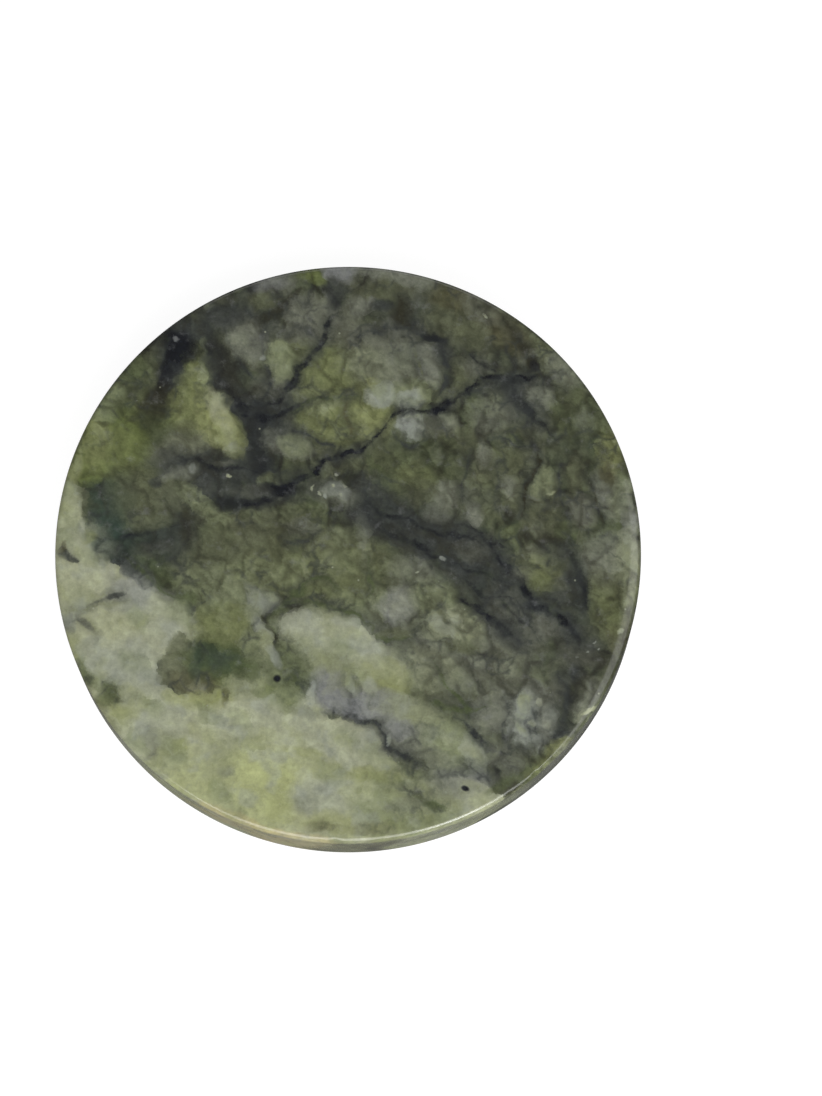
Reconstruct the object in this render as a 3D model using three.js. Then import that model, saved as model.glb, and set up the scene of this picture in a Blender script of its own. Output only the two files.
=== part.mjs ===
// A polished round of green jade stone, one solid piece that fits in the palm of a hand.
// It is a slab ground to a circle, with flat faces, an upright wall and softened edges.
// The softened edge of the upper face was ground wider on one side, as hand work leaves it.
// Millimetres, +Z up. The origin is at the middle of the flat underside.

import * as THREE from "three";

// Driving dimensions
const DIAMETER = 50;
const THICKNESS = 7;

// The softened edges: how far each reaches in over its face, and down its wall
const UPPER_EDGE = { reach: 0.5, drop: 0.45 };
const LOWER_EDGE = { reach: 0.4, drop: 0.4 };

// Where the upper edge was ground wider: the middle of the stretch and its half length, in degrees
// counter-clockwise from +X, and how many times wider and deeper the edge is in the middle of it
const WIDE_STRETCH = { middle: -9, halfLength: 44, wider: 3.1, deeper: 1.5 };

// How finely the round is cut into faces
const TURN_STEPS = 144;
const UPPER_EDGE_STEPS = 6;
const LOWER_EDGE_STEPS = 4;

// How far past an edge's reach and drop a vertex may lie through rounding and still belong to it
const ROUNDING_SLACK = 1e-4;

const RADIUS = DIAMETER / 2;

// The quarter round of an edge, from the wall (start 0) to the face (end 1), as insets from the
// square corner: x is how far in from the wall, y how far from the face.
function quarterRound(edge, steps) {
  const insets = [];
  for (let i = 0; i <= steps; i++) {
    const turn = ((Math.PI / 2) * i) / steps;
    const inset = edge.reach * (1 - Math.cos(turn));
    const fromFace = edge.drop * (1 - Math.sin(turn));
    insets.push(new THREE.Vector2(inset, fromFace));
  }
  return insets;
}

// Half of the stone's section, from the middle of the underside, round the wall, to the middle
// of the upper face. x is the distance from the axis and y the height.
function sectionProfile() {
  const lower = quarterRound(LOWER_EDGE, LOWER_EDGE_STEPS)
    .reverse()
    .map((p) => new THREE.Vector2(RADIUS - p.x, p.y));
  const upper = quarterRound(UPPER_EDGE, UPPER_EDGE_STEPS).map(
    (p) => new THREE.Vector2(RADIUS - p.x, THICKNESS - p.y),
  );
  return [
    new THREE.Vector2(0, 0),
    ...lower,
    ...upper,
    new THREE.Vector2(0, THICKNESS),
  ];
}

// How strongly the wide stretch is felt at an angle: 1 in its middle, easing to 0 at both ends.
function wideStretchShare(angle) {
  const middle = THREE.MathUtils.degToRad(WIDE_STRETCH.middle);
  const turn = Math.atan2(Math.sin(angle - middle), Math.cos(angle - middle));
  const share = Math.abs(turn) / THREE.MathUtils.degToRad(WIDE_STRETCH.halfLength);
  return share < 1 ? Math.cos((Math.PI / 2) * share) ** 2 : 0;
}

// Widens and deepens the upper edge along the wide stretch by moving its vertices away from the
// square corner. The faces stay flat and the outline stays round.
function grindWideStretch(geometry) {
  const position = geometry.getAttribute("position");
  for (let i = 0; i < position.count; i++) {
    const [x, y, z] = [position.getX(i), position.getY(i), position.getZ(i)];
    const inset = RADIUS - Math.hypot(x, y);
    const drop = THICKNESS - z;
    if (inset > UPPER_EDGE.reach + ROUNDING_SLACK) continue;
    if (drop > UPPER_EDGE.drop + ROUNDING_SLACK) continue;
    const share = wideStretchShare(Math.atan2(y, x));
    const newInset = inset * (1 + share * (WIDE_STRETCH.wider - 1));
    const newDrop = drop * (1 + share * (WIDE_STRETCH.deeper - 1));
    const shrink = (RADIUS - newInset) / (RADIUS - inset);
    position.setXYZ(i, x * shrink, y * shrink, THICKNESS - newDrop);
  }
}

// The stone: its section turned about the axis, stood upright, with the wide stretch ground in.
function stoneMesh() {
  const geometry = new THREE.LatheGeometry(sectionProfile(), TURN_STEPS);
  geometry.rotateX(Math.PI / 2);
  grindWideStretch(geometry);
  geometry.computeVertexNormals();
  const material = new THREE.MeshStandardMaterial({
    color: 0x6f7358,
    roughness: 0.3,
    metalness: 0,
  });
  const mesh = new THREE.Mesh(geometry, material);
  mesh.name = "jade_stone";
  return mesh;
}

const part = new THREE.Group();
part.add(stoneMesh());

export default part;
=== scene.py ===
# The finished look of a flat round of polished green jade, lying on a pale floor.
# The stone is one fine mesh in place of the plain solid, in metres, with its markings in a
# material that is worked out in millimetres.

import math

import bpy
import numpy as np
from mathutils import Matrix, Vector


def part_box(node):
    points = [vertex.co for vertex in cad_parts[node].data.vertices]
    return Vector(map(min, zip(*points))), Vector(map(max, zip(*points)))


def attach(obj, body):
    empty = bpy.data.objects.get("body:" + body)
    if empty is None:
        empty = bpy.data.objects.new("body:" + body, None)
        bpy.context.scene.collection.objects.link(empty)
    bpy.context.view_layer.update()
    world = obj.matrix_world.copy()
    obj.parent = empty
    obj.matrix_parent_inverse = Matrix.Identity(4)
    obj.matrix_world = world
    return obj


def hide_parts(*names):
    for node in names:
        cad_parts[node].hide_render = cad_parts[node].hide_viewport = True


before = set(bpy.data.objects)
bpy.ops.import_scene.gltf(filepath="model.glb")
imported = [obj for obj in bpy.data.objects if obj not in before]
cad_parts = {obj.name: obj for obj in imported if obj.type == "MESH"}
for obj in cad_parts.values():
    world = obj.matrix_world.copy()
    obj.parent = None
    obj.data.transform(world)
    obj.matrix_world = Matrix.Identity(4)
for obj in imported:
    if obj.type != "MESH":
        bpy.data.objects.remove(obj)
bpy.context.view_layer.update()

MM = 0.001

# The stone's size comes from the solid
lowest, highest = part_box("jade_stone")
RADIUS = (highest.x - lowest.x) / 2 / MM
THICKNESS = (highest.z - lowest.z) / MM

# The softened edges of the solid, in mm: how far each reaches over its face and down its wall
UPPER_EDGE = {"reach": 0.5, "drop": 0.45}
LOWER_EDGE = {"reach": 0.4, "drop": 0.4}

# The stretch of upper edge that was ground wider: its middle and half length in degrees
# counter-clockwise from +X, and how many times wider and deeper it is in its middle
WIDE_STRETCH = {"middle": -9, "half_length": 44, "wider": 3.1, "deeper": 1.5}

# The photograph's height and the lens that fits the stone's outline in it, both in pixels
PICTURE = {"height": 1096, "focal": 5086}
SENSOR = 36.0

# The camera: how far it is from the stone's middle and how far it leans from straight down, and
# where the middle of the picture lies from the stone's middle, to the right and up in the picture
CAMERA = {"distance": 437, "lean": 10.2, "right": 5.36, "up": 0.92}

# How finely the stone's surface is made: steps round it, along each softened edge and up the
# wall, and rings on the underside, on the upper face and at each pit
TURN_STEPS = 768
LOWER_STEPS, UPPER_STEPS, WALL_STEPS = 6, 10, 14
UNDER_RINGS, TOP_RINGS, PIT_RINGS = 20, 34, 9

# The radius in mm of the smallest ring on the underside and on the upper face
UNDER_CORE, TOP_CORE = 0.8, 0.6

# How deep the waves left by hand polishing are, and how near the wall a chip also sinks inwards
WAVE_DEPTH = 0.006
RIM_WIDTH = 0.6

# Two pits in the upper face: across, up, radius and depth in mm
PITS = [(-6.0, -10.9, 0.24, 0.03), (9.9, -20.35, 0.26, 0.03)]

# Chips out of the upper edge: degrees counter-clockwise from +X, radius and depth in mm
EDGE_CHIPS = [
    (-92.5, 0.55, 0.16),
    (-95.0, 0.35, 0.10),
    (-56.5, 0.35, 0.10),
    (-50.0, 0.50, 0.12),
    (-126.0, 0.30, 0.08),
    (151.0, 0.40, 0.10),
    (24.0, 0.35, 0.08),
    (77.0, 0.30, 0.07),
]


# THE STONE'S SURFACE


def quarter_round(edge, steps):
    """Insets from the square corner along a softened edge, from the wall to the face.

    The turn t goes from 0 to a quarter circle. The inset from the wall is reach * (1 - cos t),
    and the distance from the face is drop * (1 - sin t).
    """
    turn = np.linspace(0, np.pi / 2, steps + 1)
    return edge["reach"] * (1 - np.cos(turn)), edge["drop"] * (1 - np.sin(turn))


def face_radii(outer):
    """Distances from the axis where the upper face has a ring of vertices, closer at the pits."""
    wanted = [np.linspace(outer, TOP_CORE, TOP_RINGS)]
    for across, up, radius, depth in PITS:
        middle = math.hypot(across, up)
        beside = 1.6 * radius
        wanted.append(np.linspace(middle - beside, middle + beside, PIT_RINGS))
    radii = np.unique(np.round(np.concatenate(wanted), 3))[::-1]
    return radii[radii <= outer]


def section():
    """The stone's section as rings, from the underside's middle round the wall to the top's.

    Returns each ring's radius and height, and the numbers of the first rings of the wall and of
    the upper edge.
    """
    inset, rise = quarter_round(LOWER_EDGE, LOWER_STEPS)
    under_flat = np.linspace(UNDER_CORE, RADIUS - 3 * LOWER_EDGE["reach"], UNDER_RINGS)
    under_r = np.concatenate([under_flat, RADIUS - inset[::-1]])
    under_z = np.concatenate([np.zeros(UNDER_RINGS), rise[::-1]])
    wall_top = THICKNESS - UPPER_EDGE["drop"]
    wall_z = np.linspace(LOWER_EDGE["drop"], wall_top, WALL_STEPS + 1)[1:-1]
    inset, drop = quarter_round(UPPER_EDGE, UPPER_STEPS)
    flat_r = face_radii(RADIUS - 1.1 * UPPER_EDGE["reach"])
    top_r = np.concatenate([RADIUS - inset, flat_r])
    top_z = np.concatenate([THICKNESS - drop, np.full(len(flat_r), THICKNESS)])
    ring_r = np.concatenate([under_r, np.full(len(wall_z), RADIUS), top_r])
    ring_z = np.concatenate([under_z, wall_z, top_z])
    return ring_r, ring_z, len(under_r), len(under_r) + len(wall_z)


def wide_share(angle):
    """How strongly the wide stretch is felt: 1 in its middle, easing to 0 at both ends."""
    middle = math.radians(WIDE_STRETCH["middle"])
    turn = np.angle(np.exp(1j * (angle - middle)))
    share = np.abs(turn) / math.radians(WIDE_STRETCH["half_length"])
    return np.where(share < 1, np.cos(np.pi / 2 * np.minimum(share, 1)) ** 2, 0)


def grind_wide_stretch(radius, height, angle):
    """Widens and deepens the upper edge along the wide stretch, as on the solid.

    A vertex of the upper edge at inset i and drop d from the square corner goes to inset
    i * (1 + share * (wider - 1)) and drop d * (1 + share * (deeper - 1)). The rings of the flat
    face that the wide edge now covers are drawn in towards the axis in step.
    """
    share = wide_share(angle)
    inset, drop = RADIUS - radius, THICKNESS - height
    wider = 1 + share * (WIDE_STRETCH["wider"] - 1)
    deeper = 1 + share * (WIDE_STRETCH["deeper"] - 1)
    reach = UPPER_EDGE["reach"]
    on_edge = (drop < UPPER_EDGE["drop"] + 1e-4) & (inset < reach + 1e-4)
    past = np.clip((inset - reach) / (RADIUS - reach), 0, 1)
    flat_inset = reach * wider + past * (RADIUS - reach * wider)
    on_flat = (drop < 1e-6) & ~on_edge
    new_inset = np.where(on_edge, inset * wider, np.where(on_flat, flat_inset, inset))
    new_drop = np.where(on_edge, drop * deeper, drop)
    return RADIUS - new_inset, THICKNESS - new_drop


def hand_polish(points):
    """How far each vertex lies below a true slab, from hand polishing: long shallow waves.

    The depth is WAVE_DEPTH times the mean of three sine waves of 9 to 21 mm, made positive.
    """
    x, y, z = points.T
    waves = np.sin(0.52 * x + 0.2 * y + 1.0) + np.sin(0.3 * y - 0.21 * x + 2.1)
    waves = waves + np.sin(0.37 * x - 0.58 * y + 0.9 * z)
    return WAVE_DEPTH * (1 + waves / 3) / 2


def hollow(points, middle, radius, depth):
    """How deep a small hollow is at each vertex: depth * (1 - (d / radius)^2)^2 inside radius."""
    share = np.linalg.norm(points - np.array(middle), axis=1) / radius
    return depth * np.where(share < 1, (1 - np.minimum(share, 1) ** 2) ** 2, 0)


def stone_points(ring_r, ring_z):
    """All vertices in mm: the section turned about the axis, ground, polished and chipped."""
    angle = np.linspace(0, 2 * np.pi, TURN_STEPS, endpoint=False)
    radius = np.repeat(ring_r[:, None], TURN_STEPS, axis=1)
    height = np.repeat(ring_z[:, None], TURN_STEPS, axis=1)
    turn = np.repeat(angle[None, :], len(ring_r), axis=0)
    radius, height = grind_wide_stretch(radius, height, turn)
    grid = np.stack([radius * np.cos(turn), radius * np.sin(turn), height], axis=2)
    points = grid.reshape(-1, 3)
    poles = np.array([[0, 0, 0], [0, 0, THICKNESS]])
    points = np.concatenate([points, poles])

    # The way in from the surface at each vertex: down from the top, up from below, in from the wall
    inward = np.array([0, 0, THICKNESS / 2]) - points
    at_rim = np.hypot(points[:, 0], points[:, 1]) > RADIUS - RIM_WIDTH
    inward[:, :2] *= at_rim[:, None]
    inward /= np.linalg.norm(inward, axis=1)[:, None] + 1e-9

    sunk = np.zeros(len(points))
    for across, up, pit_radius, depth in PITS:
        sunk += hollow(points, (across, up, THICKNESS), pit_radius, depth)
    for degrees, chip_radius, depth in EDGE_CHIPS:
        a = math.radians(degrees)
        corner = (RADIUS * math.cos(a), RADIUS * math.sin(a), THICKNESS)
        sunk += hollow(points, corner, chip_radius, depth)
    points = points + inward * sunk[:, None]

    upper = points[:, 2] > THICKNESS / 2
    points[:, 2] -= np.where(upper, hand_polish(points), 0)
    return points


def stone_faces(rings):
    """Quads between neighbouring rings, and a fan of triangles round each pole, facing out."""
    ring, step = np.meshgrid(np.arange(rings - 1), np.arange(TURN_STEPS), indexing="ij")
    ring, step = ring.ravel(), step.ravel()
    beside = (step + 1) % TURN_STEPS
    low, high = ring * TURN_STEPS, (ring + 1) * TURN_STEPS
    quads = np.stack([low + step, low + beside, high + beside, high + step], axis=1)
    turn = np.arange(TURN_STEPS)
    after = (turn + 1) % TURN_STEPS
    under_pole, top_pole = rings * TURN_STEPS, rings * TURN_STEPS + 1
    last = (rings - 1) * TURN_STEPS
    under = np.stack([after, turn, np.full(TURN_STEPS, under_pole)], axis=1)
    top = np.stack([last + turn, last + after, np.full(TURN_STEPS, top_pole)], axis=1)
    return quads, under, top


# Where the surface lies in the map that the export bakes into: the middle and radius of the
# upper face's disc and the underside's, and the wall cut into strips, one above another
TOP_DISC = (0.335, 0.665, 0.325)
UNDER_DISC = (0.835, 0.835, 0.160)
WALL_STRIPS = 3
STRIP = {"left": 0.015, "wide": 0.97, "low": 0.012, "apart": 0.105, "tall": 0.09}


def on_disc(disc, share, angle, side):
    """Places on a disc of the map, at a share of its radius. Side is 1 above and -1 below."""
    middle_u, middle_v, radius = disc
    u = middle_u + radius * share * np.cos(angle)
    v = middle_v + side * radius * share * np.sin(angle)
    return np.stack([u, v], axis=-1)


def fan_on_disc(disc, share, first, second, side):
    """The map's places for a fan of triangles from the ring at that share to the disc's middle."""
    corners = [(share, first), (share, second), (0, first)]
    return np.stack([on_disc(disc, far, angle, side) for far, angle in corners], axis=1)


def bake_map(mesh, ring_r, ring_z, wall_start, top_start):
    """Lays the surface out flat in the mesh's own map, without overlaps, for the export."""
    rings = np.arange(len(ring_r))
    step_length = np.hypot(np.diff(ring_r), np.diff(ring_z))
    along = np.concatenate([[0], np.cumsum(step_length)])
    under_share = np.where(rings <= wall_start, ring_r[0] + along, 0)
    under_share = under_share / under_share.max()
    top_share = np.where(rings >= top_start, along[-1] - along + ring_r[-1], 0)
    top_share = top_share / top_share.max()

    ring, step = np.meshgrid(rings[:-1], np.arange(TURN_STEPS), indexing="ij")
    ring, step = ring.ravel(), step.ravel()
    corner_ring = np.stack([ring, ring, ring + 1, ring + 1], axis=1)
    corner_step = np.stack([step, step + 1, step + 1, step], axis=1)
    angle = 2 * np.pi * corner_step / TURN_STEPS
    on_top = on_disc(TOP_DISC, top_share[corner_ring], angle, 1)
    on_under = on_disc(UNDER_DISC, under_share[corner_ring], angle, -1)

    strip_steps = TURN_STEPS // WALL_STRIPS
    strip = (step // strip_steps)[:, None]
    strip_share = (corner_step - strip * strip_steps) / strip_steps
    wall_z = ring_z[np.minimum(corner_ring, top_start)]
    u = STRIP["left"] + STRIP["wide"] * strip_share
    v = STRIP["low"] + STRIP["apart"] * strip + STRIP["tall"] * wall_z / THICKNESS
    on_wall = np.stack([u, v], axis=-1)

    is_top = (ring >= top_start)[:, None, None]
    is_under = (ring < wall_start)[:, None, None]
    quads = np.where(is_top, on_top, np.where(is_under, on_under, on_wall))
    here = 2 * np.pi * np.arange(TURN_STEPS) / TURN_STEPS
    after = here + 2 * np.pi / TURN_STEPS
    under = fan_on_disc(UNDER_DISC, under_share[0], after, here, -1)
    top = fan_on_disc(TOP_DISC, top_share[-1], here, after, 1)
    places = np.concatenate([part.reshape(-1, 2) for part in (quads, under, top)])
    layer = mesh.uv_layers.new(name="OFBake")
    layer.data.foreach_set("uv", places.astype(np.float32).ravel())


def polished_stone():
    """The whole stone as one closed mesh with smooth shading."""
    ring_r, ring_z, wall_start, top_start = section()
    points = stone_points(ring_r, ring_z)
    quads, under, top = stone_faces(len(ring_r))
    mesh = bpy.data.meshes.new("polished_stone")
    faces = quads.tolist() + under.tolist() + top.tolist()
    mesh.from_pydata((points * MM).tolist(), [], faces)
    mesh.update()
    bake_map(mesh, ring_r, ring_z, wall_start, top_start)
    mesh.polygons.foreach_set("use_smooth", np.ones(len(mesh.polygons), bool))
    mesh.update()
    piece = bpy.data.objects.new("polished_stone", mesh)
    bpy.context.scene.collection.objects.link(piece)
    return piece


# THE STONE'S MATERIAL


class Field:
    """A value that changes through the stone: a node's output socket, with maths on it.

    An operator on numbers adds a Math node, and one on vectors or colours a Vector Math node.
    """

    def __init__(self, tree, socket=None):
        self.tree = tree
        self.socket = socket

    def node(self, kind, settings, sockets, output=0):
        """Adds a node of a kind. Its settings go in first, then its sockets' values or links."""
        made = self.tree.nodes.new(kind)
        for name, value in settings.items():
            if name == "curve":
                draw_curve(made.mapping, value)
            else:
                setattr(made, name, value)
        for key, value in sockets.items():
            if isinstance(value, Field):
                self.tree.links.new(value.socket, made.inputs[key])
            else:
                made.inputs[key].default_value = value
        return Field(self.tree, made.outputs[output])

    def maths(self, operation, first, second=0.0):
        """One Math or Vector Math node on two values, of which at least one is a field."""
        values = [first, second]
        kinds = [v.socket.type if isinstance(v, Field) else type(v).__name__ for v in values]
        if not any(kind in ("VECTOR", "RGBA", "tuple") for kind in kinds):
            return self.node("ShaderNodeMath", {"operation": operation}, {0: first, 1: second})
        triples = [(v, v, v) if isinstance(v, (int, float)) else v for v in values]
        return self.node(
            "ShaderNodeVectorMath", {"operation": operation}, {0: triples[0], 1: triples[1]}
        )

    def __add__(self, other):
        return self.maths("ADD", self, other)

    def __radd__(self, other):
        return self.maths("ADD", other, self)

    def __sub__(self, other):
        return self.maths("SUBTRACT", self, other)

    def __rsub__(self, other):
        return self.maths("SUBTRACT", other, self)

    def __mul__(self, other):
        return self.maths("MULTIPLY", self, other)

    def __rmul__(self, other):
        return self.maths("MULTIPLY", other, self)

    def __abs__(self):
        return self.maths("ABSOLUTE", self)

    def dot(self, other):
        """The sum of the products of two vectors' numbers."""
        settings = {"operation": "DOT_PRODUCT"}
        return self.node("ShaderNodeVectorMath", settings, {0: self, 1: other}, "Value")

    def axis(self, name):
        """One of the three numbers of a vector."""
        return self.node("ShaderNodeSeparateXYZ", {}, {0: self}, name)

    def ease(self, start, end, low=0.0, high=1.0):
        """Goes smoothly from low, where this value is start, to high, where it is end."""
        return self.node(
            "ShaderNodeMapRange",
            {"interpolation_type": "SMOOTHSTEP", "clamp": False},
            {0: self, 1: start, 2: end, 3: low, 4: high},
        )

    def between(self, first, second):
        """The first colour, drawn towards the second by this share."""
        return self.node(
            "ShaderNodeMix", {"data_type": "RGBA"}, {0: self, 6: first, 7: second}, "Result"
        )

    def towards(self, colour, share):
        """This colour, drawn towards another by a share."""
        return share.between(self, colour)

    def noise(self, size, detail=2.0, roughness=0.5, output=0):
        """Soft noise on these coordinates, with blotches of about that size in mm."""
        return self.node(
            "ShaderNodeTexNoise",
            {},
            {"Vector": self, "Scale": 1 / size, "Detail": detail, "Roughness": roughness},
            output,
        )

    def cells(self, size, feature="F1", output="Distance"):
        """Cells on these coordinates, of about that size in mm."""
        return self.node(
            "ShaderNodeTexVoronoi",
            {"feature": feature},
            {"Vector": self, "Scale": 1 / size},
            output,
        )


def draw_curve(mapping, points):
    """Puts a curve through points, each across and up from 0 to 1."""
    curve = mapping.curves[0]
    for place, point in enumerate(points):
        if place < len(curve.points):
            curve.points[place].location = point
        else:
            curve.points.new(*point)
    mapping.update()


def rgb(red, green, blue):
    """A colour as the screen shows it, 0 to 255, made linear for the shader."""
    shown = np.array([red, green, blue]) / 255
    linear = np.where(shown <= 0.04045, shown / 12.92, ((shown + 0.055) / 1.055) ** 2.4)
    return (*linear.tolist(), 1.0)


# The stone's tones, dark to pale
TONES = {
    "ink": rgb(20, 22, 27),
    "bark": rgb(45, 44, 32),
    "slate": rgb(50, 53, 52),
    "pine": rgb(50, 64, 56),
    "moss": rgb(72, 81, 52),
    "brown_olive": rgb(74, 72, 50),
    "drab": rgb(88, 92, 70),
    "ash": rgb(94, 96, 84),
    "leaf": rgb(94, 103, 60),
    "olive": rgb(108, 114, 76),
    "fog": rgb(112, 115, 102),
    "celadon": rgb(122, 129, 98),
    "straw": rgb(134, 139, 92),
    "lilac": rgb(124, 126, 125),
    "reed": rgb(134, 139, 110),
    "milk": rgb(140, 145, 136),
    "bone": rgb(150, 154, 133),
    "lime": rgb(153, 156, 128),
    "cream": rgb(170, 174, 146),
    "honey": rgb(182, 164, 116),
    "pear": rgb(161, 166, 117),
}

# The pale ground's shore: it lies below this line, across and up in mm
PALE_SHORE = [
    (-25.0, 7.0), (-23.6, 6.0), (-22.6, 3.0), (-21.6, 0.6), (-19.6, -1.2), (-17.6, -2.6),
    (-15.8, -4.2), (-14.4, -5.8), (-13.0, -8.0), (-12.0, -11.5), (-10.4, -12.6), (-8.0, -11.9),
    (-6.0, -12.6), (-4.6, -13.8), (-2.0, -14.2), (0.4, -14.6), (2.2, -15.6), (3.6, -17.6),
    (5.6, -19.4), (8.4, -19.6), (10.6, -19.6), (12.6, -20.6), (14.6, -23.0),
]

# Markings. Each is a soft-edged oval: across and up to its middle, its two half sizes, how far it
# is turned in degrees, how soft its edge is as a share of its size, its tone and its strength.
# The grounds, the patches and the lumps lie under the veins, in this order.
DARK_GROUND = [
    (-20.3, 4.0, 1.7, 4.2, 8, 0.5, "pine", 0.9), (-17.6, 0.8, 3.4, 2.2, 15, 0.5, "pine", 0.65),
    (-14.8, 2.2, 2.0, 2.8, 0, 0.6, "slate", 0.75), (-16.8, -1.8, 2.0, 1.2, -30, 0.5, "moss", 0.7),
    (-10.4, 6.4, 3.8, 2.2, -8, 0.5, "slate", 0.85), (-7.6, 10.0, 1.4, 3.4, 5, 0.6, "slate", 0.9),
    (-10.6, 14.6, 1.5, 3.4, 28, 0.5, "slate", 0.9), (-6.8, 12.2, 2.8, 1.1, 0, 0.6, "slate", 0.8),
    (-14.2, 17.6, 2.2, 2.2, 0, 0.5, "slate", 0.9), (-12.2, 20.4, 3.0, 1.2, 22, 0.6, "slate", 0.5),
    (-8.4, 22.2, 2.6, 1.3, 25, 0.6, "slate", 0.6), (-3.8, 16.2, 0.9, 3.4, -32, 0.7, "slate", 0.7),
    (3.2, 3.6, 3.2, 2.2, -25, 0.6, "slate", 0.8), (8.0, 0.8, 4.4, 2.2, -15, 0.6, "slate", 0.85),
    (13.0, -2.9, 4.6, 2.2, -34, 0.6, "slate", 0.85), (18.2, -6.0, 3.6, 2.2, -30, 0.6, "slate", 0.6),
    (19.2, -9.6, 2.6, 1.8, -10, 0.6, "slate", 0.35), (19.4, -2.4, 1.0, 2.6, 12, 0.7, "slate", 0.7),
    (12.8, -18.4, 3.0, 2.0, -15, 0.6, "slate", 0.25),
    (18.4, -13.6, 1.2, 2.8, -12, 0.7, "slate", 0.5),
    (4.4, 21.2, 2.6, 1.8, 10, 0.7, "slate", 0.6), (6.8, 19.4, 1.6, 1.4, 0, 0.7, "slate", 0.7),
    (9.4, 17.2, 3.2, 0.9, -8, 0.7, "slate", 0.4), (14.8, 13.6, 1.2, 2.6, 15, 0.7, "slate", 0.6),
    (20.0, 11.4, 2.0, 2.6, 0, 0.7, "moss", 0.4), (18.4, 8.8, 2.4, 1.4, 0, 0.7, "slate", 0.35),
]

GREEN_GROUND = [
    (-20.3, 9.4, 3.2, 2.6, 0, 0.4, "leaf", 0.95), (-18.3, 11.4, 2.2, 2.0, 0, 0.6, "leaf", 0.6),
    (-22.2, 7.4, 1.3, 1.4, 30, 0.5, "leaf", 0.9), (-19.6, 14.2, 3.0, 1.4, 52, 0.6, "moss", 0.6),
    (-20.5, 13.0, 1.8, 0.9, 60, 0.6, "celadon", 0.6), (-17.2, 5.2, 2.8, 2.0, 0, 0.6, "drab", 0.7),
    (-13.9, 11.6, 1.9, 3.2, -6, 0.25, "olive", 1.0), (-13.1, 15.4, 0.8, 2.4, 8, 0.3, "olive", 0.95),
    (-14.6, 9.2, 2.6, 1.5, 8, 0.4, "ash", 0.75), (-11.6, 11.6, 1.4, 2.5, 30, 0.15, "straw", 0.9),
    (-0.6, 15.6, 3.6, 3.6, 0, 0.35, "olive", 0.85), (3.6, 16.6, 3.4, 2.4, -8, 0.4, "fog", 0.6),
    (1.8, 12.2, 2.2, 2.0, 10, 0.3, "olive", 0.95), (-1.6, 11.2, 2.3, 2.1, -10, 0.3, "olive", 0.9),
    (5.4, 8.0, 2.6, 2.2, 0, 0.6, "moss", 0.45), (-9.6, -0.4, 3.6, 3.0, 0, 0.6, "drab", 0.7),
    (-10.8, -3.6, 3.0, 2.0, 0, 0.5, "celadon", 0.6), (-2.6, -1.6, 5.0, 2.2, 0, 0.6, "olive", 0.5),
    (1.6, -4.9, 2.2, 1.4, -10, 0.6, "celadon", 0.55), (-4.6, 1.6, 3.6, 1.6, -5, 0.6, "drab", 0.5),
    (6.0, -7.6, 4.0, 2.6, -15, 0.6, "fog", 0.45), (10.6, -9.6, 4.4, 3.6, 0, 0.6, "fog", 0.5),
    (22.6, -3.6, 1.6, 3.0, -8, 0.6, "olive", 0.55), (22.0, 1.6, 1.6, 1.4, 0, 0.6, "moss", 0.6),
    (8.4, -13.2, 3.0, 1.2, -10, 0.6, "drab", 0.8),
]

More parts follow.
